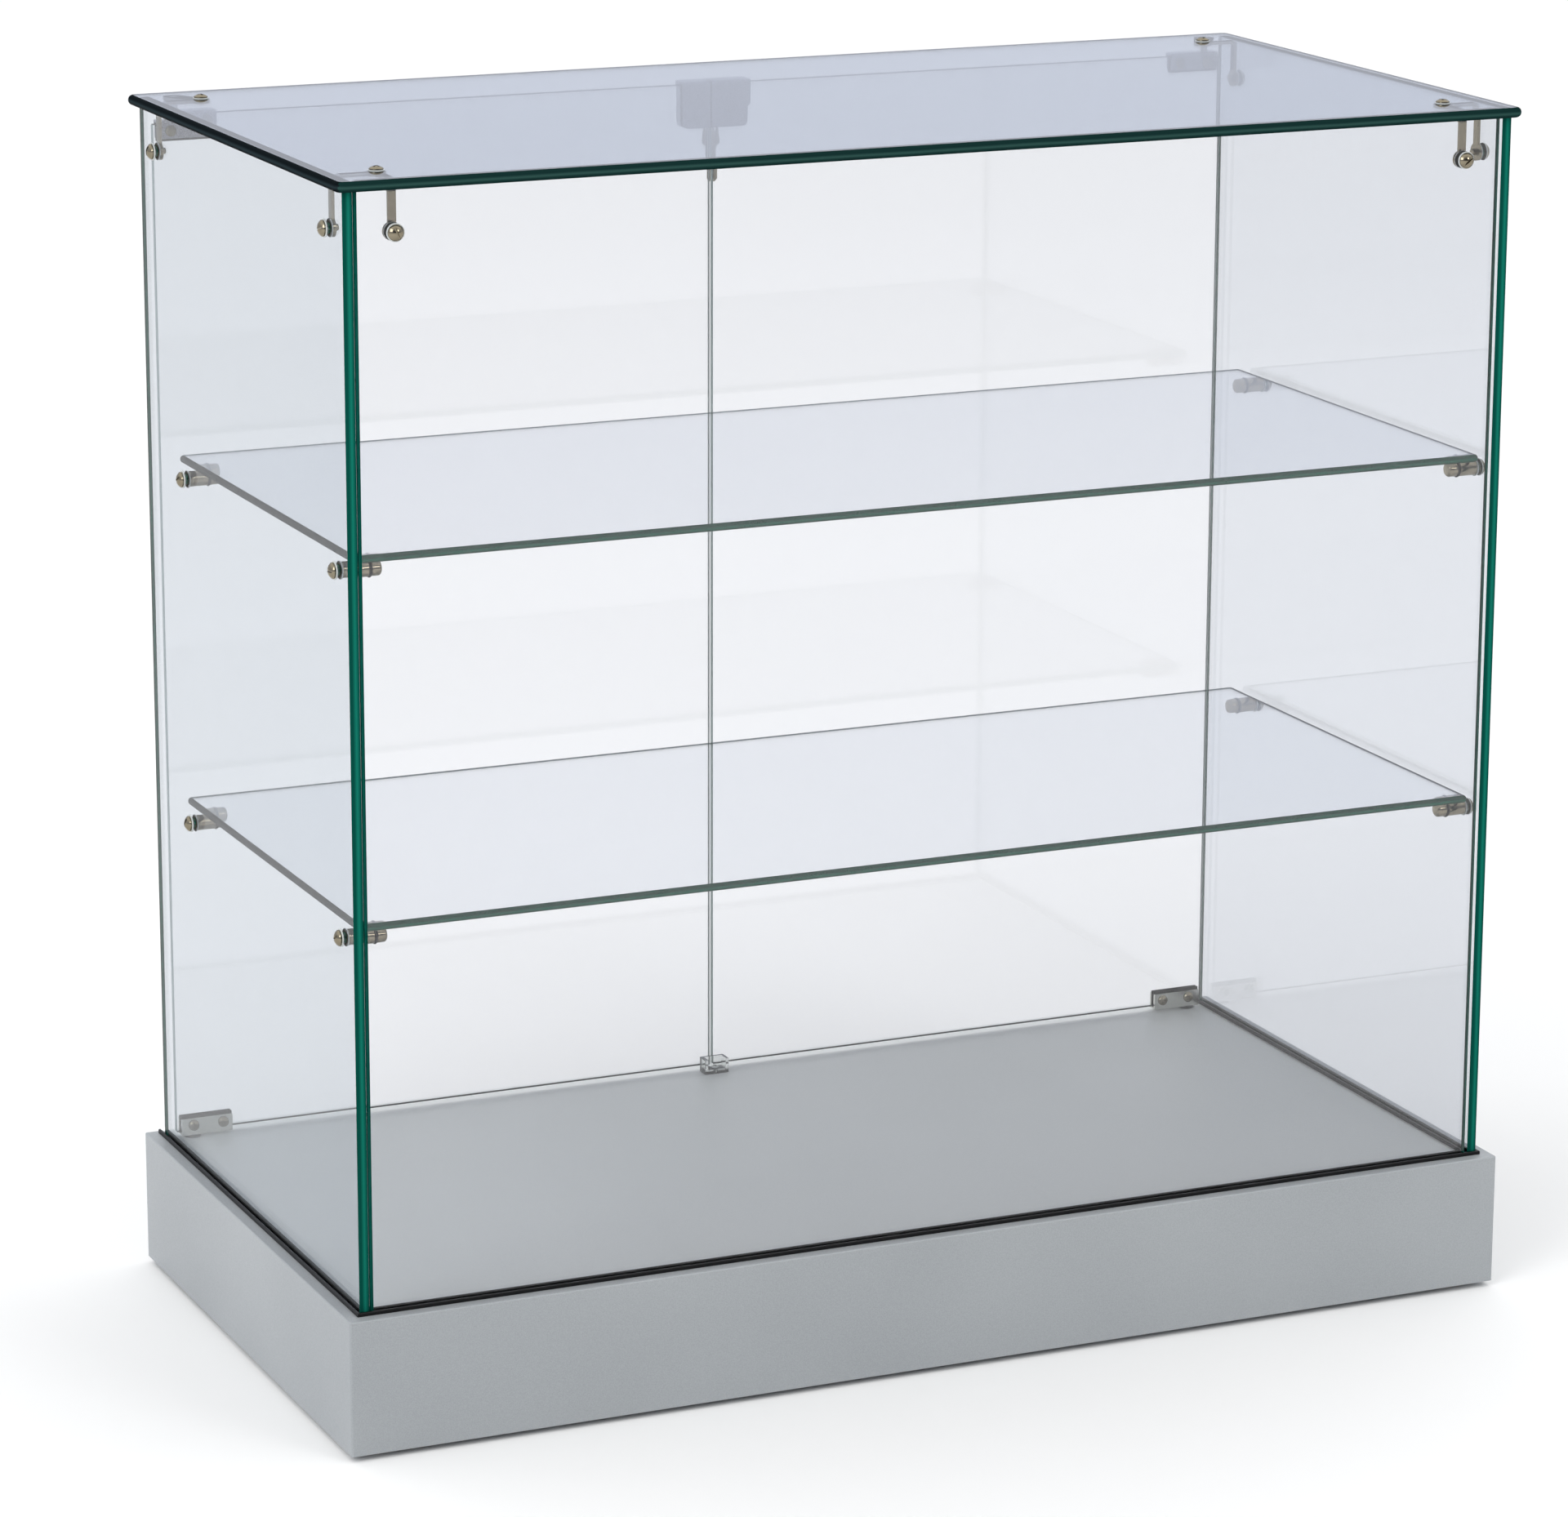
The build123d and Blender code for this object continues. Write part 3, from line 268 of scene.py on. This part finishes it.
def sheetFrame(origin, across, up):
    # a place in mm: its origin, two directions in the sheet, and the sheet's normal
    across, up = np.array(across, dtype=float), np.array(up, dtype=float)
    return np.array(origin, dtype=float), across, up, np.cross(across, up)


def axisFrame(origin, zAxis, turn=0.0):
    # a place in mm: its origin, and three axes with Z given and X turned by an angle in degrees
    z = np.array(zAxis, dtype=float)
    start = np.array([0.0, 0.0, 1.0]) if abs(z[2]) < 0.5 else np.array([1.0, 0.0, 0.0])
    x = start - z * start.dot(z)
    x /= np.linalg.norm(x)
    y = np.cross(z, x)
    angle = math.radians(turn)
    return (np.array(origin, dtype=float), math.cos(angle) * x + math.sin(angle) * y,
            math.cos(angle) * y - math.sin(angle) * x, z)


def shifted(place, distance):
    origin, x, y, z = place
    return origin + z * distance, x, y, z


def setAt(points, place):
    # local points in mm to the frame's metres
    origin, x, y, z = place
    return (origin + points[:, :1] * x + points[:, 1:2] * y + points[:, 2:] * z) * mm


def pencilProfile(thickness, flat, steps):
    # half-round edge, a quarter circle either side of a narrow flat: the inset is r - r sin t
    # and the height is r - r cos t
    radius = (thickness - flat) / 2
    turn = np.linspace(0, math.pi / 2, steps)
    inset = radius - radius * np.sin(turn)
    height = radius - radius * np.cos(turn)
    return np.concatenate([np.stack([inset, height], axis=1),
                           np.stack([inset[::-1], thickness - height[::-1]], axis=1)])


def arrisProfile(thickness, arris):
    # square edge with both corners taken off
    return np.array([[arris, 0], [0, arris], [0, thickness - arris], [arris, thickness]])


def ringGrid(centres, directions, radii, heights):
    # a ring for every step of a profile: each point is its centre plus the radius along its
    # direction, at the step's height
    flat = centres + radii[:, None, None] * directions
    level = np.broadcast_to(heights[:, None, None], (*flat.shape[:2], 1))
    return np.concatenate([flat, level], axis=2)


def filledFaces(loops, numbers, facing):
    # triangles between the outline and the holes, turned to face up (1) or down (-1)
    flat = [loop[:, :2] for loop in loops]
    triangles = np.array(tessellate_polygon([loop.tolist() for loop in flat]))
    a, b, c = np.moveaxis(np.concatenate(flat)[triangles], 1, 0)
    ab, ac = b - a, c - a
    wrong = (ab[:, 0] * ac[:, 1] - ab[:, 1] * ac[:, 0]) * facing < 0
    triangles[wrong] = triangles[wrong][:, ::-1]
    return numbers[triangles]


glassHole = {"radius": 4, "arris": 0.4, "segments": 32}


def glassSheet(name, sheet, place, profile, materials, body, replaced):
    # the profile is carried round an outline of four quarter circles, and an arris round each
    # hole, then both faces are filled; materials are those of faces, long edges and short edges
    corner, perCorner = sheet["corner"], sheet["perCorner"]
    signs = np.array([(1, 1), (-1, 1), (-1, -1), (1, -1)])
    middles = signs * (sheet["width"] / 2 - corner, sheet["height"] / 2 - corner)
    turn = (np.arange(4)[:, None] + np.linspace(0, 1, perCorner)).ravel() * math.pi / 2
    directions = np.stack([np.cos(turn), np.sin(turn)], axis=1)
    inset, height = profile.T
    grids = [ringGrid(np.repeat(middles, perCorner, axis=0), directions, corner - inset, height)]
    turn = np.linspace(0, 2 * math.pi, glassHole["segments"], endpoint=False)[::-1]
    circle = np.stack([np.cos(turn), np.sin(turn)], axis=1)
    inset, height = arrisProfile(sheet["thickness"], glassHole["arris"]).T
    grids += [ringGrid(np.array(centre), circle, glassHole["radius"] + inset, height)
              for centre in sheet["holes"]]
    faces, kinds, lowRims, highRims, start = [], [], [], [], 0
    for grid in grids:
        steps, count = grid.shape[:2]
        numbers = start + np.arange(steps * count).reshape(steps, count)
        after = np.roll(numbers, -1, axis=1)
        quads = np.stack([numbers[:-1], after[:-1], after[1:], numbers[1:]], axis=2)
        faces += quads.reshape(-1, 4).tolist()
        along = np.abs(np.roll(grid, -1, axis=1) - grid)[1:]
        kinds.append(np.where(along[..., 1] > along[..., 0], 2, 1).ravel())
        lowRims.append(numbers[0])
        highRims.append(numbers[-1])
        start += steps * count
    for rims, level, facing in ((lowRims, 0, -1), (highRims, -1, 1)):
        filled = filledFaces([grid[level] for grid in grids], np.concatenate(rims), facing)
        faces += filled.tolist()
        kinds.append(np.zeros(len(filled), dtype=int))
    points = np.concatenate([grid.reshape(-1, 3) for grid in grids])
    across = np.column_stack([points[:, 2] / sheet["thickness"], np.zeros(len(points))])
    finishMesh(name, setAt(points, place), faces, materials, body, replaced,
               np.concatenate(kinds), across)


def arc(radius, height, bend, first, last, steps):
    # part of a circle of radius bend about (radius, height), between two angles in degrees
    turn = np.radians(np.linspace(first, last, steps))
    return list(zip(radius + bend * np.cos(turn), height + bend * np.sin(turn)))


def lathe(profile, segments=48):
    # a closed profile of (radius, height) turned about Z, where a radius of 0 is one point
    turn = np.linspace(0, 2 * math.pi, segments, endpoint=False)
    index = np.arange(segments)
    after = (index + 1) % segments
    pole = np.zeros_like(index)
    points, faces, rings, count = [], [], [], 0
    for radius, height in profile:
        if radius == 0:
            ring = np.array([[0, 0, height]])
        else:
            ring = np.column_stack([radius * np.cos(turn), radius * np.sin(turn),
                                    np.full(segments, height)])
        points.append(ring)
        rings.append((count, len(ring) == 1))
        count += len(ring)
    for (low, lowPole), (high, highPole) in zip(rings, rings[1:] + rings[:1]):
        if lowPole and not highPole:
            faces += np.stack([low + pole, high + after, high + index], axis=1).tolist()
        elif highPole and not lowPole:
            faces += np.stack([low + index, low + after, high + pole], axis=1).tolist()
        elif not lowPole:
            faces += np.stack([low + index, low + after, high + after, high + index],
                              axis=1).tolist()
    return np.concatenate(points), faces


def turnedSet(name, sets, material, body, replaced):
    # copies of turned shapes at their places, as one piece
    points, faces, count = [], [], 0
    for (shapePoints, shapeFaces), places in sets:
        for place in places:
            points.append(setAt(shapePoints, place))
            faces += [[i + count for i in face] for face in shapeFaces]
            count += len(shapePoints)
    finishMesh(name, np.concatenate(points), faces, [material], body, replaced)


def screwShape(screw):
    # shank, flat underside, rim, and a dome of radius (r^2 + rise^2) / (2 rise), with slots cut
    radius, height, shank = screw["head"] / 2, screw["height"], screw["shank"] / 2
    rise = height - screw["rim"]
    dome = (radius ** 2 + rise ** 2) / (2 * rise)
    rimAngle = 90 - math.degrees(math.asin(radius / dome))
    end, endEase, rimEase = -screw["length"], 0.4, 0.15
    profile = [(0, end), (shank - endEase, end), (shank, end + endEase), (shank, 0),
               (radius - rimEase, 0), (radius, rimEase)]
    profile += arc(0, height - dome, dome, rimAngle, 90, 9)[:-1] + [(0, height)]
    points, faces = lathe(profile)
    mesh = bpy.data.meshes.new("blank")
    mesh.from_pydata(points.tolist(), [], faces)
    blank = newObject("blank", mesh)
    cutters = []
    for length, width in screw["cuts"]:
        box = bmesh.new()
        size = (width, length, 2 * screw["cutDepth"])
        bmesh.ops.create_cube(box, size=1.0, matrix=Matrix.LocRotScale((0, 0, height), None, size))
        cutMesh = bpy.data.meshes.new("cutter")
        box.to_mesh(cutMesh)
        box.free()
        cutters.append(newObject("cutter", cutMesh))
        cut = blank.modifiers.new("cut", "BOOLEAN")
        cut.operation = "DIFFERENCE"
        cut.solver = "EXACT"
        cut.object = cutters[-1]
    graph = bpy.context.evaluated_depsgraph_get()
    result = bpy.data.meshes.new_from_object(blank.evaluated_get(graph))
    points = np.empty(len(result.vertices) * 3)
    result.vertices.foreach_get("co", points)
    faces = [list(face.vertices) for face in result.polygons]
    for item in [blank] + cutters:
        bpy.data.objects.remove(item)
    return points.reshape(-1, 3), faces


def flangedTube(tube):
    # a tube down a hole, with a flange that lies on the hole's rim at height 0
    bore, outside, flange = tube["bore"] / 2, tube["outside"] / 2, tube["flange"] / 2
    low, high = tube["lowEase"], tube["highEase"]
    end, top = -tube["depth"], tube["flangeHeight"]
    return lathe([(bore, end), (outside, end), (outside, 0), (flange - low, 0), (flange, low),
                  (flange, top - high), (flange - high, top), (bore, top)], tube["segments"])


# Places that the glass and its fittings share, in mm
layout = {
    "sideFace": 487.5, "frontFace": -237.5,  # outer faces of the upright glass
    "glassBottom": 106, "glassTop": 971, "glassThickness": 8,
    "bracketX": 447, "bracketYs": (-199, 204), "legScrewZ": 939,  # screws of the brackets
    "pinZs": {"upper": 685.8, "lower": 403.8}, "pinYs": (-209, 147),  # shelf pins' middles
    "pivotX": 461.5, "pivotY": 228.5,  # axis that each door turns on
}
glassHeight = layout["glassTop"] - layout["glassBottom"]
glassMiddle = (layout["glassTop"] + layout["glassBottom"]) / 2
glassThickness = layout["glassThickness"]
bracketX, bracketYs, legScrewZ = layout["bracketX"], layout["bracketYs"], layout["legScrewZ"]
bracketSpots = [(side * bracketX, y) for side in sides.values() for y in bracketYs]
pinSpots = [(side, y) for side in sides.values() for y in layout["pinYs"]]

# Upright glass: front, sides and doors
frontPanel = {"width": 954, "height": glassHeight, "thickness": glassThickness, "corner": 1.0,
              "perCorner": 3, "arris": 0.6}
sidePanel = {**frontPanel, "width": 474, "midY": -0.5}
frontPanel["holes"] = [(side * bracketX, legScrewZ - glassMiddle) for side in sides.values()]
sidePanel["holes"] = [(y - sidePanel["midY"], z - glassMiddle)
                      for z in layout["pinZs"].values() for y in layout["pinYs"]]
sidePanel["holes"] += [(y - sidePanel["midY"], legScrewZ - glassMiddle) for y in bracketYs]
doorPanel = {"width": 474.3, "height": 839.2, "thickness": 5, "corner": 1.0, "perCorner": 3,
             "arris": 0.5, "midX": 238.35, "midZ": 537.4, "rearY": 231, "holes": []}

glassSheet("frontPanel", frontPanel,
           sheetFrame((0, layout["frontFace"] + glassThickness, glassMiddle),
                      (1, 0, 0), (0, 0, 1)),
           arrisProfile(glassThickness, frontPanel["arris"]),
           [frontFloatGlass, greenEdge, greenEdge], "counter", ["front_glass"])
for sideName, side in sides.items():
    leftFace = -layout["sideFace"] if side < 0 else layout["sideFace"] - glassThickness
    glassSheet(f"{sideName}Panel", sidePanel,
               sheetFrame((leftFace, sidePanel["midY"], glassMiddle), (0, 1, 0), (0, 0, 1)),
               arrisProfile(glassThickness, sidePanel["arris"]),
               [sideFloatGlass[sideName], greenEdge, greenEdge],
               "counter", [f"{sideName}_glass"])
    glassSheet(f"{sideName}Door", doorPanel,
               sheetFrame((side * doorPanel["midX"], doorPanel["rearY"], doorPanel["midZ"]),
                          (1, 0, 0), (0, 0, 1)),
               arrisProfile(doorPanel["thickness"], doorPanel["arris"]),
               [doorFloatGlass, shadedEdge, litDoorEdge],
               f"door_{sideName}", [f"{sideName}_door_glass"])

# Level glass: top and shelves
topSheet = {"width": 989, "height": 496, "thickness": glassThickness, "corner": 8,
            "perCorner": 12, "flat": 0.4, "edgeSteps": 10, "midY": 2}
topSheet["holes"] = [(x, y - topSheet["midY"]) for x, y in bracketSpots]
glassSheet("topSheet", topSheet,
           sheetFrame((0, topSheet["midY"], layout["glassTop"]), (1, 0, 0), (0, 1, 0)),
           pencilProfile(glassThickness, topSheet["flat"], topSheet["edgeSteps"]),
           [topFloatGlass, topEdge, shadedEdge], "counter", ["top_glass"])
shelf = {"width": 950, "height": 404, "thickness": 6, "corner": 4, "perCorner": 8, "flat": 0.4,
         "edgeSteps": 8, "midY": -22, "bottoms": {"upper": 693, "lower": 411}, "holes": []}
for levelName, bottom in shelf["bottoms"].items():
    glassSheet(f"{levelName}Shelf", shelf,
               sheetFrame((0, shelf["midY"], bottom), (1, 0, 0), (0, 1, 0)),
               pencilProfile(shelf["thickness"], shelf["flat"], shelf["edgeSteps"]),
               [shelfFloatGlass, shelfEdge, shadedEdge],
               f"shelf_{levelName}", [f"{levelName}_shelf"])
print("glass made")

# Slotted dome screws on washers, through the upright glass
washer = {"bore": 5.4, "outside": 14, "thickness": 1, "ease": 0.15, "segments": 40}
legScrew = {"head": 12.5, "height": 4.6, "rim": 1.2, "shank": 5, "length": 16,
            "cuts": [(16, 1.6)], "cutDepth": 1.6}
pinScrew = {**legScrew, "length": 21}
slotTurns = {"legs": ((20, 75), (-15, 50)), "front": (-68, 40), "pinStep": 35}  # degrees
legPlaces = [axisFrame((side * layout["sideFace"], y, legScrewZ), (side, 0, 0), turn)
             for side, turns in zip(sides.values(), slotTurns["legs"])
             for y, turn in zip(bracketYs, turns)]
legPlaces += [axisFrame((side * bracketX, layout["frontFace"], legScrewZ), (0, -1, 0), turn)
              for side, turn in zip(sides.values(), slotTurns["front"])]
pinPlaces = [axisFrame((side * layout["sideFace"], y, z), (side, 0, 0),
                       slotTurns["pinStep"] * (level + spot))
             for level, z in enumerate(layout["pinZs"].values())
             for spot, (side, y) in enumerate(pinSpots)]
for name, places, screw in (("leg", legPlaces, legScrew), ("pin", pinPlaces, pinScrew)):
    heads = [shifted(p, washer["thickness"]) for p in places]
    turnedSet(f"{name}Screws", [(screwShape(screw), heads)], nickel,
              "counter", [f"{name}_screws"])

# Cross-slotted screws in flanged sleeves, through the top glass
topScrew = {"head": 11, "height": 2.9, "rim": 0.97, "shank": 5, "length": 11.1,
            "cuts": [(6.2, 1.5), (1.5, 6.2)], "cutDepth": 1.6, "turns": (30, 10, 60, 80)}
topSleeve = {"bore": 5.4, "outside": 7.6, "depth": 8, "flange": 12.4, "flangeHeight": 0.6,
             "lowEase": 0.1, "highEase": 0.1, "segments": 40}
topPlaces = [axisFrame((x, y, layout["glassTop"] + glassThickness), (0, 0, 1), turn)
             for (x, y), turn in zip(bracketSpots, topScrew["turns"])]
heads = [shifted(p, topSleeve["flangeHeight"]) for p in topPlaces]
turnedSet("topScrews", [(screwShape(topScrew), heads)], nickel,
          "counter", ["top_screws"])

# Cross-slotted screws in the doors' clamps
clampScrew = {"head": 9, "height": 3.2, "rim": 0.8, "shank": 4, "length": 2.4,
              "cuts": [(5.0, 1.5), (1.5, 5.0)], "cutDepth": 1.6, "xs": (461.5, 436),
              "zs": (123.3, 951.5), "faceY": 222.8, "turns": ((15, 50), (70, 35))}
for sideName, side in sides.items():
    places = [axisFrame((side * x, clampScrew["faceY"], z), (0, -1, 0), turn)
              for z, turns in zip(clampScrew["zs"], clampScrew["turns"])
              for x, turn in zip(clampScrew["xs"], turns)]
    turnedSet(f"{sideName}ClampScrews", [(screwShape(clampScrew), places)], nickel,
              f"door_{sideName}", [f"{sideName}_clamp_screws"])

# Washers on both faces of the upright glass, and the top screws' sleeves
bore, radius, ease = washer["bore"] / 2, washer["outside"] / 2, washer["ease"]
thickness = washer["thickness"]
washerShape = lathe([(bore, 0), (radius - ease, 0), (radius, ease), (radius, thickness - ease),
                     (radius - ease, thickness), (bore, thickness)], washer["segments"])
for name, places in (("leg", legPlaces), ("pin", pinPlaces)):
    inside = [shifted(p, -glassThickness - thickness) for p in places]
    turnedSet(f"{name}Washers", [(washerShape, places + inside)], milky,
              "counter", [f"{name}_washers"])
turnedSet("topSleeves", [(flangedTube(topSleeve), topPlaces)], milky,
          "counter", ["top_screw_sleeves"])

# Shelf pins: threaded body, neck and rounded cap, with a rubber ring in the neck
pin = {"hole": 5.04, "holeDepth": 12, "body": 12.4, "bodyLength": 15, "bodyEase": 0.3,
       "neck": 9.2, "cap": 12, "length": 25.4, "capRound": 2.4, "ease": 0.2}
pinRing = {"bore": 9.24, "outside": 13.8, "thickness": 2.4}
hole, body, neck, cap = (pin[key] / 2 for key in ("hole", "body", "neck", "cap"))
bodyEnd, ease, capRound = pin["bodyLength"], pin["ease"], pin["capRound"]
capStart = bodyEnd + pinRing["thickness"]
pinShape = lathe([(hole, pin["holeDepth"]), (hole, 0), (body - ease, 0), (body, ease),
                  (body, bodyEnd - pin["bodyEase"]), (body - pin["bodyEase"], bodyEnd),
                  (neck, bodyEnd), (neck, capStart), (cap - ease, capStart),
                  (cap, capStart + ease)]
                 + arc(cap - capRound, pin["length"] - capRound, capRound, 0, 90, 5)
                 + [(0, pin["length"]), (0, pin["holeDepth"])])
bend = pinRing["thickness"] / 2
ringShape = lathe([(pinRing["bore"] / 2, 0)]
                  + arc(pinRing["outside"] / 2 - bend, bend, bend, -90, 90, 13)
                  + [(pinRing["bore"] / 2, pinRing["thickness"])])
pinFoot = layout["sideFace"] - glassThickness - washer["thickness"]
for levelName, z in layout["pinZs"].items():
    places = [axisFrame((side * pinFoot, y, z), (-side, 0, 0)) for side, y in pinSpots]
    turnedSet(f"{levelName}Pins", [(pinShape, places)], nickel,
              "counter", [f"{levelName}_shelf_pins"])
    turnedSet(f"{levelName}Rings", [(ringShape, [shifted(p, bodyEnd) for p in places])],
              rubber, "counter", [f"{levelName}_pin_rings"])

# Bushes for the doors' pivots, in the deck and in the rear brackets' arms
deckBush = {"bore": 6.1, "outside": 10.06, "depth": 10, "flange": 15, "flangeHeight": 1.7,
            "lowEase": 0.1, "highEase": 0.2, "segments": 48, "z": 113}
armBush = {**deckBush, "depth": 2.5, "flangeHeight": 3, "z": 968.5}
bushSets = [(flangedTube(bush), [axisFrame((side * layout["pivotX"], layout["pivotY"], bush["z"]),
                                           (0, 0, up)) for side in sides.values()])
            for bush, up in ((deckBush, 1), (armBush, -1))]
turnedSet("pivotBushes", bushSets, nylon, "counter", ["pivot_bushes"])

# Feet under the plinth, countersunk for their screws
glide = {"outside": 24, "height": 5, "rimRound": 1.25, "hole": 4.2, "countersink": 9.8,
         "countersinkDepth": 2.8, "x": 460, "y": 210}
radius, bend = glide["outside"] / 2, glide["rimRound"]
glideShape = lathe([(glide["countersink"] / 2, 0)] + arc(radius - bend, bend, bend, -90, 0, 6)
                   + [(radius, glide["height"]), (glide["hole"] / 2, glide["height"]),
                      (glide["hole"] / 2, glide["countersinkDepth"])])
glidePlaces = [axisFrame((sideX * glide["x"], sideY * glide["y"], 0), (0, 0, 1))
               for sideX in (-1, 1) for sideY in (-1, 1)]
turnedSet("floorGlides", [(glideShape, glidePlaces)], nylon, "counter", ["glides"])
print("fittings made")

# CAD nodes that keep their shape
keptNodes = {
    "base_front_board base_rear_board base_left_board base_right_board": boardLaminate,
    "deck_panel": litDeckLaminate,
    "corner_blocks deck_cleats": wood,
    "channel_front channel_left channel_right": anodised,
    "front_left_bracket front_right_bracket rear_left_bracket rear_right_bracket": nickel,
    "lock_plug key_ring door_keys": nickel,
    "left_bottom_clamp right_bottom_clamp": litCastNickel,
    "left_top_clamp right_top_clamp": shadedNickel,
    "lock_case lock_strike lock_set_screws strike_set_screws": shadedNickel,
    "left_clamp_gaskets right_clamp_gaskets lock_gasket strike_gasket": rubber,
    "left_pivot_pins right_pivot_pins lock_cam cam_screw door_stop_screw glide_screws": steel,
    "door_stop": plastic,
}
for names, material in keptNodes.items():
    for name in names.split():
        for slot in nodes[name].material_slots:
            slot.material = material
print("CAD nodes finished")

# Floor and room: white, with grey lavender walls low down that are seen in the glass, and darker
# on the customer's side, which gives the plated metal its dark shapes
room = {
    "floor": "#f3f3f2", "floorSize": 40.0, "strength": 1.33,
    "walls": [(0.0, "#bfc3cf"), (0.42, "#d0d4dd"), (0.5, "#f4f5f8"), (0.6, "#ffffff"),
              (1.0, "#ffffff")],
    "customerSide": "#4b4d53", "fade": (-0.97, -0.5),
}
reach = room["floorSize"]
floorMesh = bpy.data.meshes.new("floor")
floorMesh.from_pydata([(-reach, -reach, 0), (reach, -reach, 0), (reach, reach, 0),
                       (-reach, reach, 0)], [], [(0, 1, 2, 3)])
floorMesh.materials.append(newMaterial("floorPaint", room["floor"], Roughness=0.7)[0])
floor = newObject("floor", floorMesh)

world = bpy.data.worlds.new("studio")
bpy.context.scene.world = world
world.use_nodes = True
sky = world.node_tree
background = sky.nodes["Background"]
background.inputs["Strength"].default_value = room["strength"]
direction = addNode(sky, "ShaderNodeTexCoord").outputs["Generated"]
axes = addNode(sky, "ShaderNodeSeparateXYZ", links={"Vector": direction})
walls = addNode(sky, "ShaderNodeValToRGB", {"stops": room["walls"]}, {"Fac": axes.outputs["Z"]})
fadeStart, fadeEnd = room["fade"]
fade = addNode(sky, "ShaderNodeMapRange", {"From Min": fadeStart, "From Max": fadeEnd},
               {"Value": axes.outputs["Y"]})
mixed = addNode(sky, "ShaderNodeMix", {"data_type": "RGBA", 6: linearColour(room["customerSide"])},
                {0: fade.outputs["Result"], 7: walls.outputs["Color"]})
sky.links.new(mixed.outputs[2], background.inputs["Color"])

softboxes = {
    "leftSoftbox": {"place": (-3.4, -2.2, 2.6), "size": 2.2, "power": 60},
    "frontSoftbox": {"place": (1.8, -4.2, 2.8), "size": 1.6, "power": 40},
}
lampAim = Vector((0, 0, 0.4))
for name, box in softboxes.items():
    light = bpy.data.lights.new(name, "AREA")
    light.shape = "SQUARE"
    light.size = box["size"]
    light.energy = box["power"]
    lamp = newObject(name, light)
    lamp.location = box["place"]
    lamp.rotation_euler = (lampAim - Vector(box["place"])).to_track_quat("-Z", "Y").to_euler()
bpy.context.scene.view_settings.view_transform = "Standard"
bounces = bpy.context.scene.cycles  # enough for light to pass every sheet of glass
bounces.max_bounces = 40
bounces.transmission_bounces = 40
bounces.glossy_bounces = 12
bounces.transparent_max_bounces = 16
print("studio made")

# Camera solved from the photograph: angles in degrees, place in metres
view = {"azimuth": -24.01, "down": 14.56, "roll": 0.19, "lens": 132.77, "sensor": 36,
        "place": (-1.877, -4.143, 1.624)}
azimuth, down, roll = (math.radians(view[key]) for key in ("azimuth", "down", "roll"))
right = Vector((math.cos(azimuth), math.sin(azimuth), 0))
back = Vector((math.sin(azimuth) * math.cos(down), -math.cos(azimuth) * math.cos(down),
               math.sin(down)))
up = back.cross(right)
right, up = (right * math.cos(roll) + up * math.sin(roll),
             up * math.cos(roll) - right * math.sin(roll))
cameraData = bpy.data.cameras.new("camera")
cameraData.lens = view["lens"]
cameraData.sensor_width = view["sensor"]
camera = newObject("camera", cameraData)
turned = Matrix((right, up, back)).transposed().to_4x4()
camera.matrix_world = Matrix.Translation(view["place"]) @ turned
bpy.context.scene.camera = camera

bpy.context.view_layer.update()
